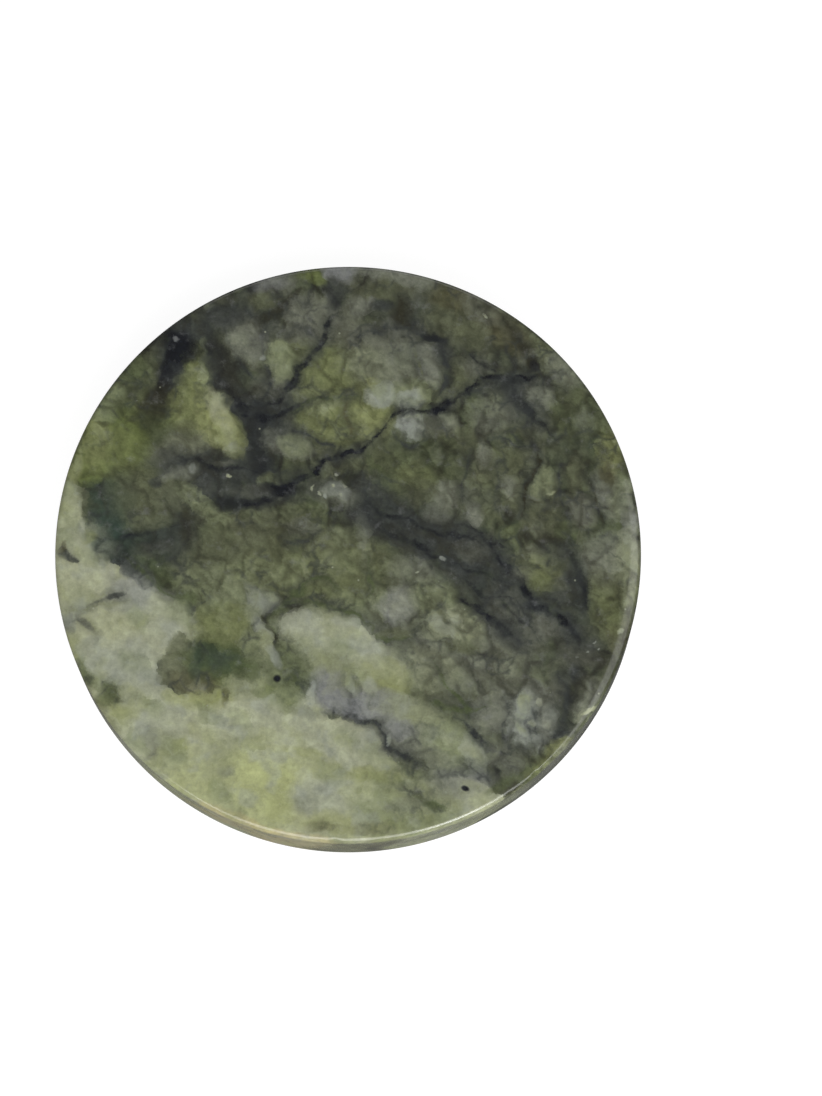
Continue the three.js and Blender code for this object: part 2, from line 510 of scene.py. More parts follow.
LUMPS_AND_EDGE_HIGHLIGHT = [
    (-8.5, 18.3, 1.9, 1.6, 0, 0.2, "fog", 0.75), (-9.2, 20.0, 1.6, 0.9, 0, 0.6, "ash", 0.7),
    (-6.0, 16.7, 1.1, 1.8, 6, 0.2, "celadon", 0.75), (-6.6, 14.3, 1.4, 1.1, 0, 0.6, "ash", 0.6),
    (-3.8, 20.7, 1.8, 1.7, 0, 0.2, "fog", 0.65), (-4.2, 18.9, 1.6, 0.7, 0, 0.6, "ash", 0.8),
    (-6.6, 23.2, 1.9, 0.9, 20, 0.6, "ash", 0.7), (-7.4, 21.6, 1.6, 0.7, 15, 0.6, "drab", 0.8),
    (-2.8, 24.2, 1.3, 0.7, 0, 0.5, "leaf", 0.8), (-0.7, 24.3, 1.0, 0.6, 0, 0.6, "lilac", 0.9),
    (1.8, 24.2, 1.4, 0.5, -5, 0.6, "fog", 0.8), (4.2, 24.1, 2.3, 1.1, -8, 0.5, "fog", 0.85),
    (-1.6, 21.6, 0.8, 0.8, 0, 0.6, "fog", 0.7), (0.9, 21.6, 1.1, 0.7, 0, 0.5, "fog", 0.9),
    (-0.8, 19.6, 1.8, 1.4, -20, 0.6, "ash", 0.8), (2.6, 18.8, 2.4, 0.9, 0, 0.6, "ash", 0.8),
    (2.8, 22.9, 2.2, 0.8, 0, 0.6, "drab", 0.8), (6.2, 23.7, 1.8, 0.7, -18, 0.6, "fog", 0.6),
    (2.9, 13.7, 1.1, 0.8, 0, 0.5, "milk", 0.8), (5.4, 13.8, 1.6, 0.9, 0, 0.5, "celadon", 0.9),
    (2.2, 14.5, 0.4, 0.6, 30, 0.6, "straw", 0.7), (5.4, 11.0, 0.95, 1.0, 0, 0.6, "milk", 0.95),
    (-2.4, 12.5, 0.8, 0.5, 10, 0.7, "celadon", 0.5), (2.2, 11.6, 1.3, 1.2, 0, 0.7, "straw", 0.45),
    (6.9, 16.2, 0.9, 1.6, 14, 0.3, "fog", 0.8), (-4.9, 9.2, 1.9, 1.1, -28, 0.2, "fog", 0.7),
    (-6.7, 9.7, 0.7, 0.8, 0, 0.6, "fog", 0.6), (-10.2, 10.4, 0.9, 1.7, 25, 0.5, "straw", 0.6),
    (-11.2, 13.0, 1.2, 0.8, -30, 0.5, "reed", 0.75),
    (-12.2, 16.4, 0.5, 1.5, 12, 0.6, "celadon", 0.6),
    (-12.4, 4.1, 1.9, 0.6, -36, 0.6, "celadon", 0.75),
    (-6.8, 6.2, 0.7, 0.55, 0, 0.6, "celadon", 0.8),
    (-13.9, 7.1, 0.9, 0.6, 20, 0.7, "fog", 0.6), (-1.2, 5.1, 1.7, 0.8, -20, 0.6, "fog", 0.6),
    (1.2, 1.7, 0.4, 1.2, 0, 0.7, "fog", 0.7), (0.0, 1.4, 1.0, 0.8, 0, 0.7, "celadon", 0.45),
    (-4.0, 2.1, 1.1, 0.5, 0, 0.7, "fog", 0.5), (5.6, -2.4, 2.0, 1.3, -20, 0.6, "fog", 0.5),
    (7.0, -4.1, 1.4, 1.0, 0, 0.6, "celadon", 0.7), (9.0, -6.5, 2.1, 1.5, -10, 0.5, "reed", 0.7),
    (8.2, 5.0, 1.3, 1.0, 0, 0.3, "fog", 0.75), (10.7, 3.1, 0.6, 0.9, 0, 0.4, "fog", 0.8),
    (12.4, 12.0, 1.8, 1.6, 0, 0.5, "fog", 0.5), (16.3, 13.6, 1.3, 1.2, 0, 0.25, "fog", 0.7),
    (10.8, 16.1, 1.0, 0.7, 0, 0.6, "ash", 0.7), (8.4, 20.2, 1.8, 1.2, 0, 0.6, "drab", 0.8),
    (9.0, 22.0, 1.6, 1.0, -10, 0.6, "brown_olive", 0.7),
    (13.6, 19.0, 1.9, 1.1, -40, 0.6, "brown_olive", 0.8),
    (18.8, 15.9, 1.7, 1.1, -42, 0.3, "fog", 0.6),
    (16.6, 6.0, 1.0, 1.3, 0, 0.3, "celadon", 0.8), (16.4, 3.4, 1.5, 1.4, 0, 0.6, "drab", 0.7),
    (19.9, 3.5, 1.0, 1.5, 0, 0.3, "ash", 0.8), (22.2, 5.2, 0.9, 1.9, 8, 0.6, "fog", 0.7),
    (24.0, 2.4, 0.6, 2.6, 6, 0.6, "lilac", 0.6), (22.6, 8.8, 0.9, 1.4, 14, 0.6, "straw", 0.45),
    (15.9, -1.8, 1.5, 1.4, 0, 0.6, "olive", 0.7), (22.3, -0.4, 2.0, 1.7, 0, 0.6, "fog", 0.75),
    (10.8, 0.3, 1.3, 0.9, 0, 0.5, "ash", 0.5), (13.6, -4.4, 1.5, 1.1, -30, 0.5, "ash", 0.55),
    (17.0, -6.3, 1.1, 0.8, -20, 0.5, "fog", 0.7), (15.2, -7.6, 1.3, 1.0, 0, 0.6, "ash", 0.7),
    (15.6, -14.3, 2.1, 2.6, -8, 0.2, "milk", 0.8), (14.6, -14.4, 0.8, 1.6, 0, 0.7, "milk", 0.5),
    (17.2, -12.4, 1.3, 0.8, 20, 0.6, "ash", 0.7), (18.0, -17.2, 1.4, 0.8, 42, 0.5, "straw", 0.7),
    (16.4, -18.6, 1.2, 0.6, 38, 0.6, "olive", 0.6), (20.6, -12.2, 1.2, 0.9, 30, 0.6, "fog", 0.6),
    # The first oval of the next row, bone at (20.3, -13.7), is a painted highlight on the softened
    # edge and not a lump of the stone.
    (20.3, -13.7, 0.9, 0.4, 15, 0.6, "bone", 0.5), (24.0, -3.6, 0.5, 3.0, -8, 0.6, "reed", 0.5),
    (23.9, -0.8, 0.8, 2.4, -3, 0.6, "reed", 0.7), (7.3, -10.2, 1.7, 1.3, -10, 0.6, "reed", 0.6),
    (-17.2, 3.0, 1.4, 0.9, 10, 0.6, "drab", 0.6), (-22.0, 9.8, 1.2, 1.8, 20, 0.6, "straw", 0.5),
    (11.4, 21.2, 1.5, 0.9, -30, 0.6, "ash", 0.6), (5.4, 6.5, 1.3, 1.0, 0, 0.6, "olive", 0.5),
    (23.4, 5.0, 0.8, 1.6, 8, 0.6, "celadon", 0.5), (14.4, -11.6, 1.5, 0.7, 0, 0.6, "ash", 0.5),
    (13.6, 8.0, 1.1, 1.5, 0, 0.3, "drab", 0.7), (19.4, 6.6, 0.9, 1.2, 0, 0.3, "drab", 0.8),
    (21.3, 5.7, 0.7, 1.2, 10, 0.3, "ash", 0.6), (5.2, 13.3, 1.0, 0.7, 0, 0.5, "milk", 0.5),
    (-10.6, 7.6, 0.8, 0.35, 10, 0.6, "ash", 0.6), (-4.9, -1.8, 1.6, 1.2, 0, 0.6, "celadon", 0.4),
    (-7.6, -1.6, 1.4, 1.2, 0, 0.6, "celadon", 0.4), (6.0, 5.2, 1.0, 0.9, 0, 0.6, "drab", 0.6),
    (22.4, 8.6, 0.9, 1.2, 14, 0.6, "straw", 0.4),
]

PALE_LENS = [
    (-1.9, -6.9, 3.6, 1.7, -8, 0.22, "bone", 0.95), (1.4, -8.8, 3.4, 1.7, -42, 0.3, "bone", 0.9),
    (-3.2, -8.9, 2.2, 1.4, -10, 0.5, "reed", 0.7), (-0.6, -10.6, 2.0, 1.2, 0, 0.6, "reed", 0.6),
    (1.0, -7.4, 1.4, 0.8, -20, 0.7, "bone", 0.4), (-2.0, -6.2, 1.8, 0.8, 0, 0.8, "bone", 0.45),
    (3.2, -10.8, 1.8, 1.2, -30, 0.5, "straw", 0.6), (2.9, -12.0, 1.0, 0.6, 0, 0.6, "straw", 0.5),
    (2.6, -13.1, 2.4, 0.9, -5, 0.6, "lilac", 0.85), (-2.0, -11.9, 1.5, 1.5, 0, 0.5, "lilac", 0.9),
    (-7.7, -6.2, 0.35, 1.0, 42, 0.6, "milk", 0.6), (-7.6, -4.5, 1.2, 0.8, 20, 0.7, "milk", 0.4),
    (3.9, -4.9, 1.0, 1.3, 0, 0.5, "lilac", 0.6),
]

PALE_GROUND = [
    (-17.0, -14.0, 2.6, 3.0, 0, 0.5, "bone", 0.8), (-15.8, -5.6, 3.2, 1.6, -38, 0.5, "bone", 0.8),
    (-19.4, -9.6, 2.8, 1.5, 10, 0.6, "milk", 0.55), (-21.6, -6.6, 2.4, 1.6, 10, 0.6, "lime", 0.7),
    (-22.4, -2.4, 1.8, 1.6, 0, 0.6, "lime", 0.6), (-22.0, 0.8, 1.5, 1.4, 0, 0.6, "bone", 0.6),
    (-23.9, 3.6, 1.0, 2.4, 0, 0.5, "reed", 0.8), (-18.6, -3.2, 1.6, 1.6, 0, 0.7, "lilac", 0.6),
    (-19.6, -13.4, 1.4, 1.6, 20, 0.5, "straw", 0.7),
    (-23.2, -10.0, 0.9, 2.2, 22, 0.7, "straw", 0.6),
    (-13.2, -19.2, 3.2, 1.7, -35, 0.5, "pear", 0.6), (-10.2, -17.6, 1.9, 2.3, 0, 0.7, "reed", 0.55),
    (-15.8, -17.2, 1.9, 1.3, -20, 0.5, "reed", 0.8), (-6.6, -19.8, 2.8, 3.0, 0, 0.6, "pear", 0.9),
    (-6.6, -14.6, 2.8, 1.6, -10, 0.7, "bone", 0.5), (-1.6, -17.0, 3.4, 1.7, 0, 0.7, "bone", 0.5),
    (-2.0, -20.8, 2.7, 1.5, 0, 0.35, "bone", 0.95), (2.4, -21.6, 1.6, 1.6, 0, 0.5, "reed", 0.8),
    (0.8, -23.4, 3.2, 0.8, 0, 0.7, "straw", 0.6), (5.8, -16.6, 3.0, 1.5, -20, 0.6, "fog", 0.8),
    (5.0, -20.6, 2.6, 2.0, -10, 0.7, "celadon", 0.7), (9.4, -21.6, 2.6, 1.4, 15, 0.6, "reed", 0.7),
    (9.4, -19.6, 2.0, 1.0, 0, 0.6, "lilac", 0.6),
    (9.2, -16.4, 2.4, 2.1, -25, 0.45, "celadon", 0.85),
    (10.7, -17.3, 0.8, 1.4, 10, 0.6, "milk", 0.5), (12.0, -14.0, 1.6, 1.5, 0, 0.4, "fog", 0.85),
    (5.4, -23.0, 3.0, 1.1, 12, 0.6, "celadon", 0.7), (-17.9, -16.9, 1.4, 1.4, 0, 0.6, "cream", 0.6),
]

MOSS_PATCH = [
    (-12.9, -12.7, 2.3, 0.9, 0, 0.25, "straw", 0.8), (-10.4, -12.0, 1.1, 1.1, 0, 0.4, "straw", 0.7),
    (-14.6, -10.3, 1.7, 1.7, 0, 0.1, "drab", 0.85), (-14.3, -8.2, 0.9, 0.85, 0, 0.1, "drab", 0.85),
    (-11.2, -9.3, 2.7, 1.8, -6, 0.3, "moss", 0.95), (-10.8, -6.3, 2.6, 1.5, 8, 0.35, "olive", 0.85),
    (-8.1, -8.3, 0.8, 1.1, 14, 0.5, "celadon", 0.6),
    (-13.2, -11.3, 2.0, 0.8, -6, 0.3, "brown_olive", 0.6),
    (-4.8, -10.9, 1.6, 2.4, 12, 0.5, "moss", 0.65),
    (-6.9, -10.4, 1.4, 1.1, 0, 0.5, "celadon", 0.5), (-7.1, -11.9, 0.8, 0.4, 0, 0.6, "leaf", 0.8),
    (-4.7, -13.2, 0.5, 0.5, 0, 0.7, "olive", 0.7), (-7.0, -7.9, 0.45, 1.2, 0, 0.5, "reed", 0.85),
    (-8.7, -11.6, 1.4, 0.9, -10, 0.6, "reed", 0.8), (-5.2, -12.5, 1.3, 0.9, 0, 0.6, "celadon", 0.6),
    (-3.4, -13.7, 1.2, 0.7, 0, 0.6, "bone", 0.6), (0.5, -13.6, 1.5, 0.7, -10, 0.6, "lilac", 0.75),
    (5.3, -13.6, 1.8, 1.0, -15, 0.6, "reed", 0.8), (4.2, -15.2, 1.2, 0.8, -20, 0.6, "lilac", 0.6),
    (-11.0, -9.3, 1.4, 0.8, -15, 0.6, "pine", 0.5), (-12.9, -9.6, 0.4, 1.2, 5, 0.7, "pine", 0.45),
    (-8.9, -10.2, 1.2, 0.5, -25, 0.6, "moss", 0.7),
]

# The spots, the specks and the painted glints lie over the veins
DARK_SPOTS = [
    (-22.4, -10.4, 0.5, 1.1, 15, 0.7, "moss", 0.7), (-14.2, -16.7, 0.5, 0.4, 0, 0.7, "straw", 0.8),
    (4.6, -17.4, 1.4, 0.5, -25, 0.7, "slate", 0.2), (6.2, -19.9, 2.4, 1.2, -8, 0.7, "drab", 0.45),
    (5.4, -22.0, 1.5, 0.6, 0, 0.7, "ash", 0.5), (0.4, -19.0, 3.2, 0.5, -5, 0.7, "straw", 0.6),
    (-3.4, -17.6, 1.6, 0.4, -15, 0.7, "straw", 0.5),
    (2.4, -19.6, 1.4, 0.35, -10, 0.7, "olive", 0.5),
    (-2.2, -23.6, 1.0, 0.5, 0, 0.7, "brown_olive", 0.45),
    (2.0, -23.8, 1.6, 0.4, 0, 0.7, "brown_olive", 0.4), (-3.6, -21.8, 0.8, 0.7, 0, 0.7, "fog", 0.5),
    (11.4, -18.9, 1.6, 0.7, -10, 0.7, "slate", 0.3),
    (-14.6, 18.3, 1.1, 0.9, -10, 0.45, "ink", 0.95),
    (-14.3, 17.3, 1.2, 0.8, 10, 0.5, "ink", 0.85), (-15.5, 15.8, 0.5, 1.3, -12, 0.6, "ink", 0.7),
    (-16.9, 12.5, 0.8, 0.45, -20, 0.7, "bark", 0.8), (-21.0, 11.1, 0.45, 0.2, 0, 0.6, "bark", 0.7),
    (-8.5, 23.0, 0.6, 0.35, 20, 0.6, "ink", 0.7), (-7.8, 9.6, 0.5, 2.4, 2, 0.8, "ink", 0.5),
    (-10.9, 16.0, 0.8, 1.9, 24, 0.7, "bark", 0.5), (-6.0, 5.45, 1.7, 0.4, 3, 0.6, "ink", 0.95),
    (-9.4, 4.2, 2.0, 0.5, 0, 0.6, "ink", 0.8), (-18.0, 1.5, 1.4, 0.4, 20, 0.7, "ink", 0.55),
    (-17.4, 0.4, 1.6, 0.35, 12, 0.7, "ink", 0.45), (-20.6, 0.4, 1.0, 1.2, 0, 0.7, "pine", 0.6),
    (-19.2, -0.7, 1.0, 0.6, -30, 0.7, "ink", 0.55), (-13.9, 2.2, 0.4, 1.5, 0, 0.7, "bark", 0.6),
    (-13.6, -5.1, 0.4, 0.4, 30, 0.6, "slate", 0.9), (-13.9, -4.2, 0.7, 0.5, 0, 0.7, "moss", 0.7),
    (-23.7, -0.5, 0.7, 0.25, -35, 0.7, "slate", 0.7),
    (-24.3, 0.4, 0.3, 0.3, 0, 0.7, "brown_olive", 0.6),
    (-22.0, 1.4, 0.5, 0.5, 0, 0.7, "olive", 0.7), (-19.7, -3.7, 0.5, 0.15, 25, 0.6, "slate", 0.7),
    (-23.8, -6.2, 0.5, 0.6, 0, 0.7, "fog", 0.8), (-22.3, -6.2, 0.7, 0.2, -48, 0.7, "ash", 0.7),
    (-20.4, -12.2, 0.8, 1.0, -20, 0.6, "moss", 0.65),
    (-18.2, -12.5, 0.35, 0.3, 0, 0.7, "slate", 0.35),
    (-16.5, -16.0, 0.5, 0.8, 0, 0.7, "fog", 0.5), (-16.6, -17.5, 0.45, 0.3, 20, 0.7, "ash", 0.5),
    (-10.3, -18.9, 0.5, 0.4, 0, 0.7, "fog", 0.6),
    (-10.4, -12.5, 0.25, 0.6, 0, 0.7, "brown_olive", 0.6),
    (-2.9, -12.6, 0.3, 0.6, 0, 0.7, "fog", 0.7), (-1.1, 22.6, 0.8, 0.9, 0, 0.6, "slate", 0.8),
    (-1.1, 21.9, 0.4, 0.4, 0, 0.6, "ink", 0.6), (4.3, 21.1, 0.8, 1.0, 0, 0.6, "bark", 0.6),
    (2.9, 21.5, 0.7, 0.4, 0, 0.7, "slate", 0.8), (7.4, 18.5, 0.8, 0.3, -10, 0.6, "ink", 0.9),
    (8.0, 17.4, 0.6, 0.8, -20, 0.7, "slate", 0.5), (14.6, 18.2, 0.9, 0.4, -45, 0.7, "bark", 0.6),
    (15.9, 16.5, 0.4, 0.5, 0, 0.6, "bark", 0.9), (16.0, 16.2, 0.3, 0.3, 0, 0.7, "ink", 0.7),
    (22.2, 6.8, 0.5, 0.7, 15, 0.7, "brown_olive", 0.8),
    (17.4, 1.1, 0.9, 0.4, -32, 0.7, "bark", 0.7),
    (19.9, -3.2, 0.3, 1.2, 4, 0.7, "ink", 0.5), (19.3, -1.9, 0.5, 0.8, 20, 0.7, "slate", 0.4),
    (20.9, -9.3, 1.6, 0.6, -5, 0.7, "bark", 0.5), (19.4, -12.0, 0.6, 0.7, 0, 0.7, "bark", 0.6),
    (7.3, -21.8, 0.7, 0.3, 0, 0.7, "moss", 0.7), (13.0, -20.0, 1.2, 0.3, 30, 0.7, "moss", 0.5),
    (13.2, -18.1, 0.4, 0.3, 0, 0.7, "ink", 0.5), (14.6, -20.7, 0.7, 0.4, 30, 0.7, "bark", 0.6),
    (-4.1, -3.4, 0.6, 0.3, 0, 0.7, "moss", 0.8), (4.2, -7.1, 1.3, 0.3, -4, 0.7, "drab", 0.8),
    (9.8, -8.3, 1.2, 0.4, 0, 0.7, "drab", 0.8), (-16.6, 5.9, 0.4, 0.35, 0, 0.7, "slate", 0.7),
    (-16.1, 13.6, 0.5, 1.5, -12, 0.6, "ink", 0.75), (-15.0, 16.4, 0.75, 1.2, -20, 0.5, "ink", 0.7),
    (-16.3, 11.2, 1.2, 1.4, 0, 0.7, "moss", 0.6), (-6.3, 19.0, 0.7, 0.7, 0, 0.7, "slate", 0.5),
    (-10.9, 20.3, 1.6, 1.0, 25, 0.7, "slate", 0.6), (12.4, 14.3, 1.7, 0.5, 10, 0.7, "slate", 0.6),
    (14.4, 13.4, 0.9, 1.2, 0, 0.7, "slate", 0.55), (-6.0, 10.4, 0.9, 0.7, 0, 0.7, "slate", 0.45),
    (-15.4, 8.0, 1.4, 0.7, 15, 0.7, "slate", 0.5), (1.2, 3.0, 1.4, 1.0, -20, 0.7, "slate", 0.5),
    (17.4, -0.2, 0.9, 0.8, -30, 0.7, "slate", 0.5), (5.3, -23.4, 1.8, 0.6, 8, 0.7, "olive", 0.45),
    (0.0, -8.2, 1.1, 0.7, -20, 0.7, "celadon", 0.65), (1.0, -16.0, 1.3, 0.8, -20, 0.7, "fog", 0.45),
    (22.1, -10.9, 1.0, 0.9, 0, 0.7, "bark", 0.3), (10.7, 4.8, 1.0, 0.9, 0, 0.7, "slate", 0.35),
    (-11.3, 19.4, 0.9, 0.8, 0, 0.7, "slate", 0.4), (-14.9, 15.2, 0.9, 0.9, 0, 0.7, "slate", 0.6),
    (-16.2, 13.2, 0.9, 1.1, 0, 0.7, "bark", 0.75), (-17.0, 11.4, 1.2, 0.9, 0, 0.7, "bark", 0.35),
    (-18.0, 14.1, 0.9, 0.8, 40, 0.7, "bark", 0.3), (-11.6, 17.8, 0.7, 0.9, 25, 0.7, "ink", 0.45),
    (-9.4, 20.7, 1.1, 0.7, 20, 0.7, "slate", 0.4), (-2.8, 17.3, 0.6, 1.0, -30, 0.7, "slate", 0.5),
    (0.9, 23.3, 0.8, 0.6, 0, 0.7, "bark", 0.4), (-5.3, 6.7, 1.2, 0.6, 10, 0.7, "ink", 0.45),
    (-7.2, 7.4, 0.8, 0.6, 0, 0.7, "ink", 0.45), (-2.6, 5.8, 1.0, 0.5, 10, 0.7, "slate", 0.5),
    (-4.2, 4.7, 1.2, 0.5, 5, 0.7, "slate", 0.5), (13.8, -7.3, 1.6, 0.8, -35, 0.7, "slate", 0.6),
    (16.9, -14.4, 0.5, 1.3, 0, 0.7, "ash", 0.5), (7.6, -17.8, 1.1, 0.5, -15, 0.7, "ash", 0.5),
    (1.0, -7.5, 1.0, 0.5, -30, 0.7, "straw", 0.4), (-15.7, 15.8, 0.7, 0.7, 0, 0.7, "ink", 0.5),
    (23.2, -7.4, 0.9, 1.2, 0, 0.7, "brown_olive", 0.4),
    (-4.6, 10.3, 1.3, 0.5, -10, 0.7, "slate", 0.4),
    (-14.4, -5.4, 0.9, 0.7, -30, 0.7, "celadon", 0.55), (-18.6, 9.2, 1.2, 1.1, 0, 0.7, "leaf", 0.5),
    (-15.2, 7.3, 1.0, 0.6, 10, 0.7, "slate", 0.35), (4.5, -4.4, 1.0, 0.9, 0, 0.7, "fog", 0.5),
    (-12.0, 16.2, 0.6, 0.9, 20, 0.7, "slate", 0.4),
]

PALE_SPECKS_AND_GLINTS = [
    (-3.1, -12.2, 0.25, 0.9, 0, 0.6, "milk", 0.8), (-5.2, -14.4, 0.5, 0.25, 40, 0.7, "cream", 0.6),
    (-8.6, -13.9, 1.1, 0.25, -30, 0.7, "cream", 0.6),
    (-6.3, -15.6, 0.3, 0.6, 20, 0.7, "cream", 0.6),
    (-4.6, -17.4, 0.2, 0.5, 10, 0.7, "cream", 0.6), (-3.2, -16.4, 0.4, 0.3, 0, 0.7, "cream", 0.5),
    (2.0, -11.7, 0.6, 0.4, -30, 0.7, "bone", 0.6), (0.3, -11.5, 0.2, 0.5, 20, 0.7, "milk", 0.6),
    (1.4, -8.6, 1.4, 0.5, -40, 0.7, "bone", 0.5), (-11.0, 12.0, 0.6, 1.7, 26, 0.6, "lime", 0.6),
    (-10.2, 9.6, 0.5, 0.9, 20, 0.7, "reed", 0.4), (2.6, 13.6, 0.9, 0.6, 0, 0.6, "milk", 0.6),
    (14.9, -13.2, 0.7, 0.9, -15, 0.7, "milk", 0.6), (-15.2, 6.6, 0.9, 0.4, 15, 0.7, "fog", 0.5),
    (-13.3, 7.3, 0.3, 0.25, 0, 0.7, "milk", 0.5), (-7.4, 17.0, 0.2, 0.2, 0, 0.7, "milk", 0.5),
    (-8.0, -4.0, 0.5, 0.9, 30, 0.7, "milk", 0.3), (-6.4, -9.2, 0.35, 0.7, 25, 0.6, "milk", 0.5),
    # Painted glints: the tiny dots from (-14.7, 18.6) to (19.5, -9.1) are points of reflected light
    # painted into the colour. The larger milk oval at (-0.9, 5.4) among them is a pale patch of the
    # stone.
    (-14.7, 18.6, 0.22, 0.15, 0, 0.7, "lilac", 0.5), (-10.2, 6.6, 0.16, 0.14, 0, 0.5, "bone", 0.8),
    (11.8, 20.6, 0.14, 0.12, 0, 0.6, "bone", 0.7), (-0.9, 5.4, 0.8, 0.45, -20, 0.7, "milk", 0.45),
    (-1.8, 5.0, 0.14, 0.16, 0, 0.6, "milk", 0.8), (-2.2, 5.3, 0.12, 0.12, 0, 0.6, "bone", 0.7),
    (-0.4, 5.8, 0.16, 0.1, 0, 0.6, "bone", 0.5), (-1.4, 5.7, 0.12, 0.12, 0, 0.6, "bone", 0.9),
    (-0.8, 4.9, 0.14, 0.1, 0, 0.6, "bone", 0.6), (-2.9, 5.6, 0.1, 0.14, 0, 0.6, "bone", 0.6),
    (-1.0, 6.6, 0.12, 0.08, 0, 0.6, "bone", 0.5), (6.2, -1.8, 0.2, 0.1, 0, 0.6, "bone", 0.7),
    (8.2, -0.6, 0.2, 0.16, 0, 0.6, "milk", 0.6), (17.2, 5.0, 0.22, 0.1, 0, 0.6, "reed", 0.7),
    (20.3, -8.5, 0.1, 0.09, 0, 0.6, "milk", 0.6), (20.9, -7.9, 0.09, 0.07, 0, 0.6, "milk", 0.5),
    (21.4, -8.5, 0.08, 0.09, 0, 0.6, "milk", 0.6), (19.5, -9.1, 0.08, 0.08, 0, 0.6, "milk", 0.4),
    # In the next two rows, the cream dot at (23.3, -6.8) and the cream streak at (20.7, -13.6) are
    # a painted highlight on the softened edge. The bone dots are pale flecks of the stone.
    (23.3, -6.8, 0.22, 0.22, 0, 0.6, "cream", 0.6), (14.6, -12.8, 0.2, 0.3, 0, 0.7, "bone", 0.5),
    (16.4, -13.0, 0.2, 0.3, 10, 0.7, "bone", 0.5), (20.7, -13.6, 0.5, 0.18, 25, 0.6, "cream", 0.7),
    (-9.4, -14.1, 0.8, 0.22, -50, 0.6, "cream", 0.5), (0.1, -18.4, 0.25, 0.4, 0, 0.7, "cream", 0.5),
    (3.4, -16.2, 0.2, 0.35, 0, 0.7, "milk", 0.6), (15.7, -14.6, 0.25, 0.2, 0, 0.7, "bone", 0.4),
    (17.0, -14.5, 0.25, 0.3, 0, 0.7, "bone", 0.35), (14.6, -15.5, 0.3, 0.3, 0, 0.7, "bone", 0.4),
    (16.0, -15.9, 0.25, 0.2, 0, 0.7, "milk", 0.5), (-10.6, -14.7, 1.6, 0.9, -10, 0.7, "cream", 0.5),
    (-17.6, -12.3, 1.1, 0.9, 0, 0.7, "bone", 0.6), (-20.6, -13.9, 0.5, 0.4, 0, 0.7, "cream", 0.4),
    (-13.2, 13.4, 1.0, 1.8, -6, 0.7, "olive", 0.5),
    (-12.5, 15.3, 0.25, 1.0, 14, 0.7, "celadon", 0.4),
    (-20.6, 8.8, 1.8, 1.6, 0, 0.7, "olive", 0.4), (-23.4, 7.2, 0.5, 0.9, 0, 0.7, "straw", 0.6),
    (-8.8, 18.1, 1.35, 1.25, 0, 0.3, "fog", 0.55), (-5.9, 16.5, 0.9, 1.3, 6, 0.3, "celadon", 0.5),
    (-3.9, 20.7, 1.3, 1.3, 0, 0.4, "ash", 0.5), (-4.7, 9.1, 1.3, 0.8, -28, 0.3, "celadon", 0.5),
    (5.5, 13.5, 0.9, 0.6, 0, 0.5, "milk", 0.55), (4.4, 24.0, 1.8, 0.6, -10, 0.6, "fog", 0.7),
    (-0.9, 24.5, 1.0, 0.4, 0, 0.6, "lilac", 0.7), (-6.7, 23.4, 1.2, 0.6, 18, 0.6, "lilac", 0.4),
    (2.6, 24.3, 1.0, 0.4, 0, 0.6, "fog", 0.5), (7.6, 3.4, 0.9, 0.6, 0, 0.7, "fog", 0.4),
    (10.1, 9.8, 0.7, 1.0, 0, 0.6, "drab", 0.6), (10.6, 18.6, 1.2, 0.8, -10, 0.6, "drab", 0.6),
    (15.0, -2.0, 0.8, 0.6, 0, 0.6, "ash", 0.5), (19.3, -8.9, 1.1, 0.8, 0, 0.7, "ash", 0.4),
    (13.1, -17.5, 1.4, 0.8, -20, 0.7, "fog", 0.4), (0.8, -13.6, 1.0, 0.4, -20, 0.7, "lilac", 0.5),
    (-17.0, 2.5, 1.3, 0.6, 15, 0.7, "celadon", 0.3), (-16.7, 0.2, 1.2, 0.5, 10, 0.7, "ash", 0.3),
    (-8.2, 5.3, 1.1, 0.4, 0, 0.7, "ash", 0.35), (-0.8, -1.0, 1.4, 0.9, 0, 0.7, "celadon", 0.35),
    (-1.8, -5.0, 1.2, 0.4, -8, 0.7, "reed", 0.4), (6.7, 10.9, 0.8, 0.8, 0, 0.7, "fog", 0.35),
    (-20.2, 0.1, 0.8, 0.6, 20, 0.7, "fog", 0.3),
]

# Patches on the wall, in the plan past the stone's edge, which the plan's lean brings onto it
WALL_PATCHES = [
    (1.6, -25.7, 3.4, 0.8, 3, 0.6, "brown_olive", 0.65),
    (4.4, -25.8, 1.0, 0.6, 5, 0.6, "bark", 0.45),
    (-9.2, -23.0, 3.4, 0.5, -22, 0.6, "honey", 0.45),
    (-7.0, -25.4, 4.2, 0.8, -15, 0.6, "cream", 0.5),
    (12.8, -23.2, 2.6, 0.7, 30, 0.6, "reed", 0.7), (26.0, -0.6, 0.6, 4.0, 0, 0.6, "reed", 0.6),
    (-3.8, -24.9, 2.4, 0.5, -9, 0.6, "honey", 0.4), (14.8, -21.4, 2.0, 0.7, 34, 0.6, "reed", 0.6),
    (19.4, -16.8, 3.0, 0.7, 48, 0.6, "fog", 0.8), (9.4, -24.4, 2.6, 0.5, 22, 0.6, "fog", 0.5),
    (-20.6, -14.2, 2.4, 0.5, -56, 0.6, "brown_olive", 0.4),
]

# A dark ink mark in each pit, which makes the pit darker
PIT_DARKENING = [
    (-6.0, -10.95, 0.3, 0.28, 0, 0.3, "ink", 1.0), (9.95, -20.35, 0.32, 0.2, -20, 0.3, "ink", 1.0),
]

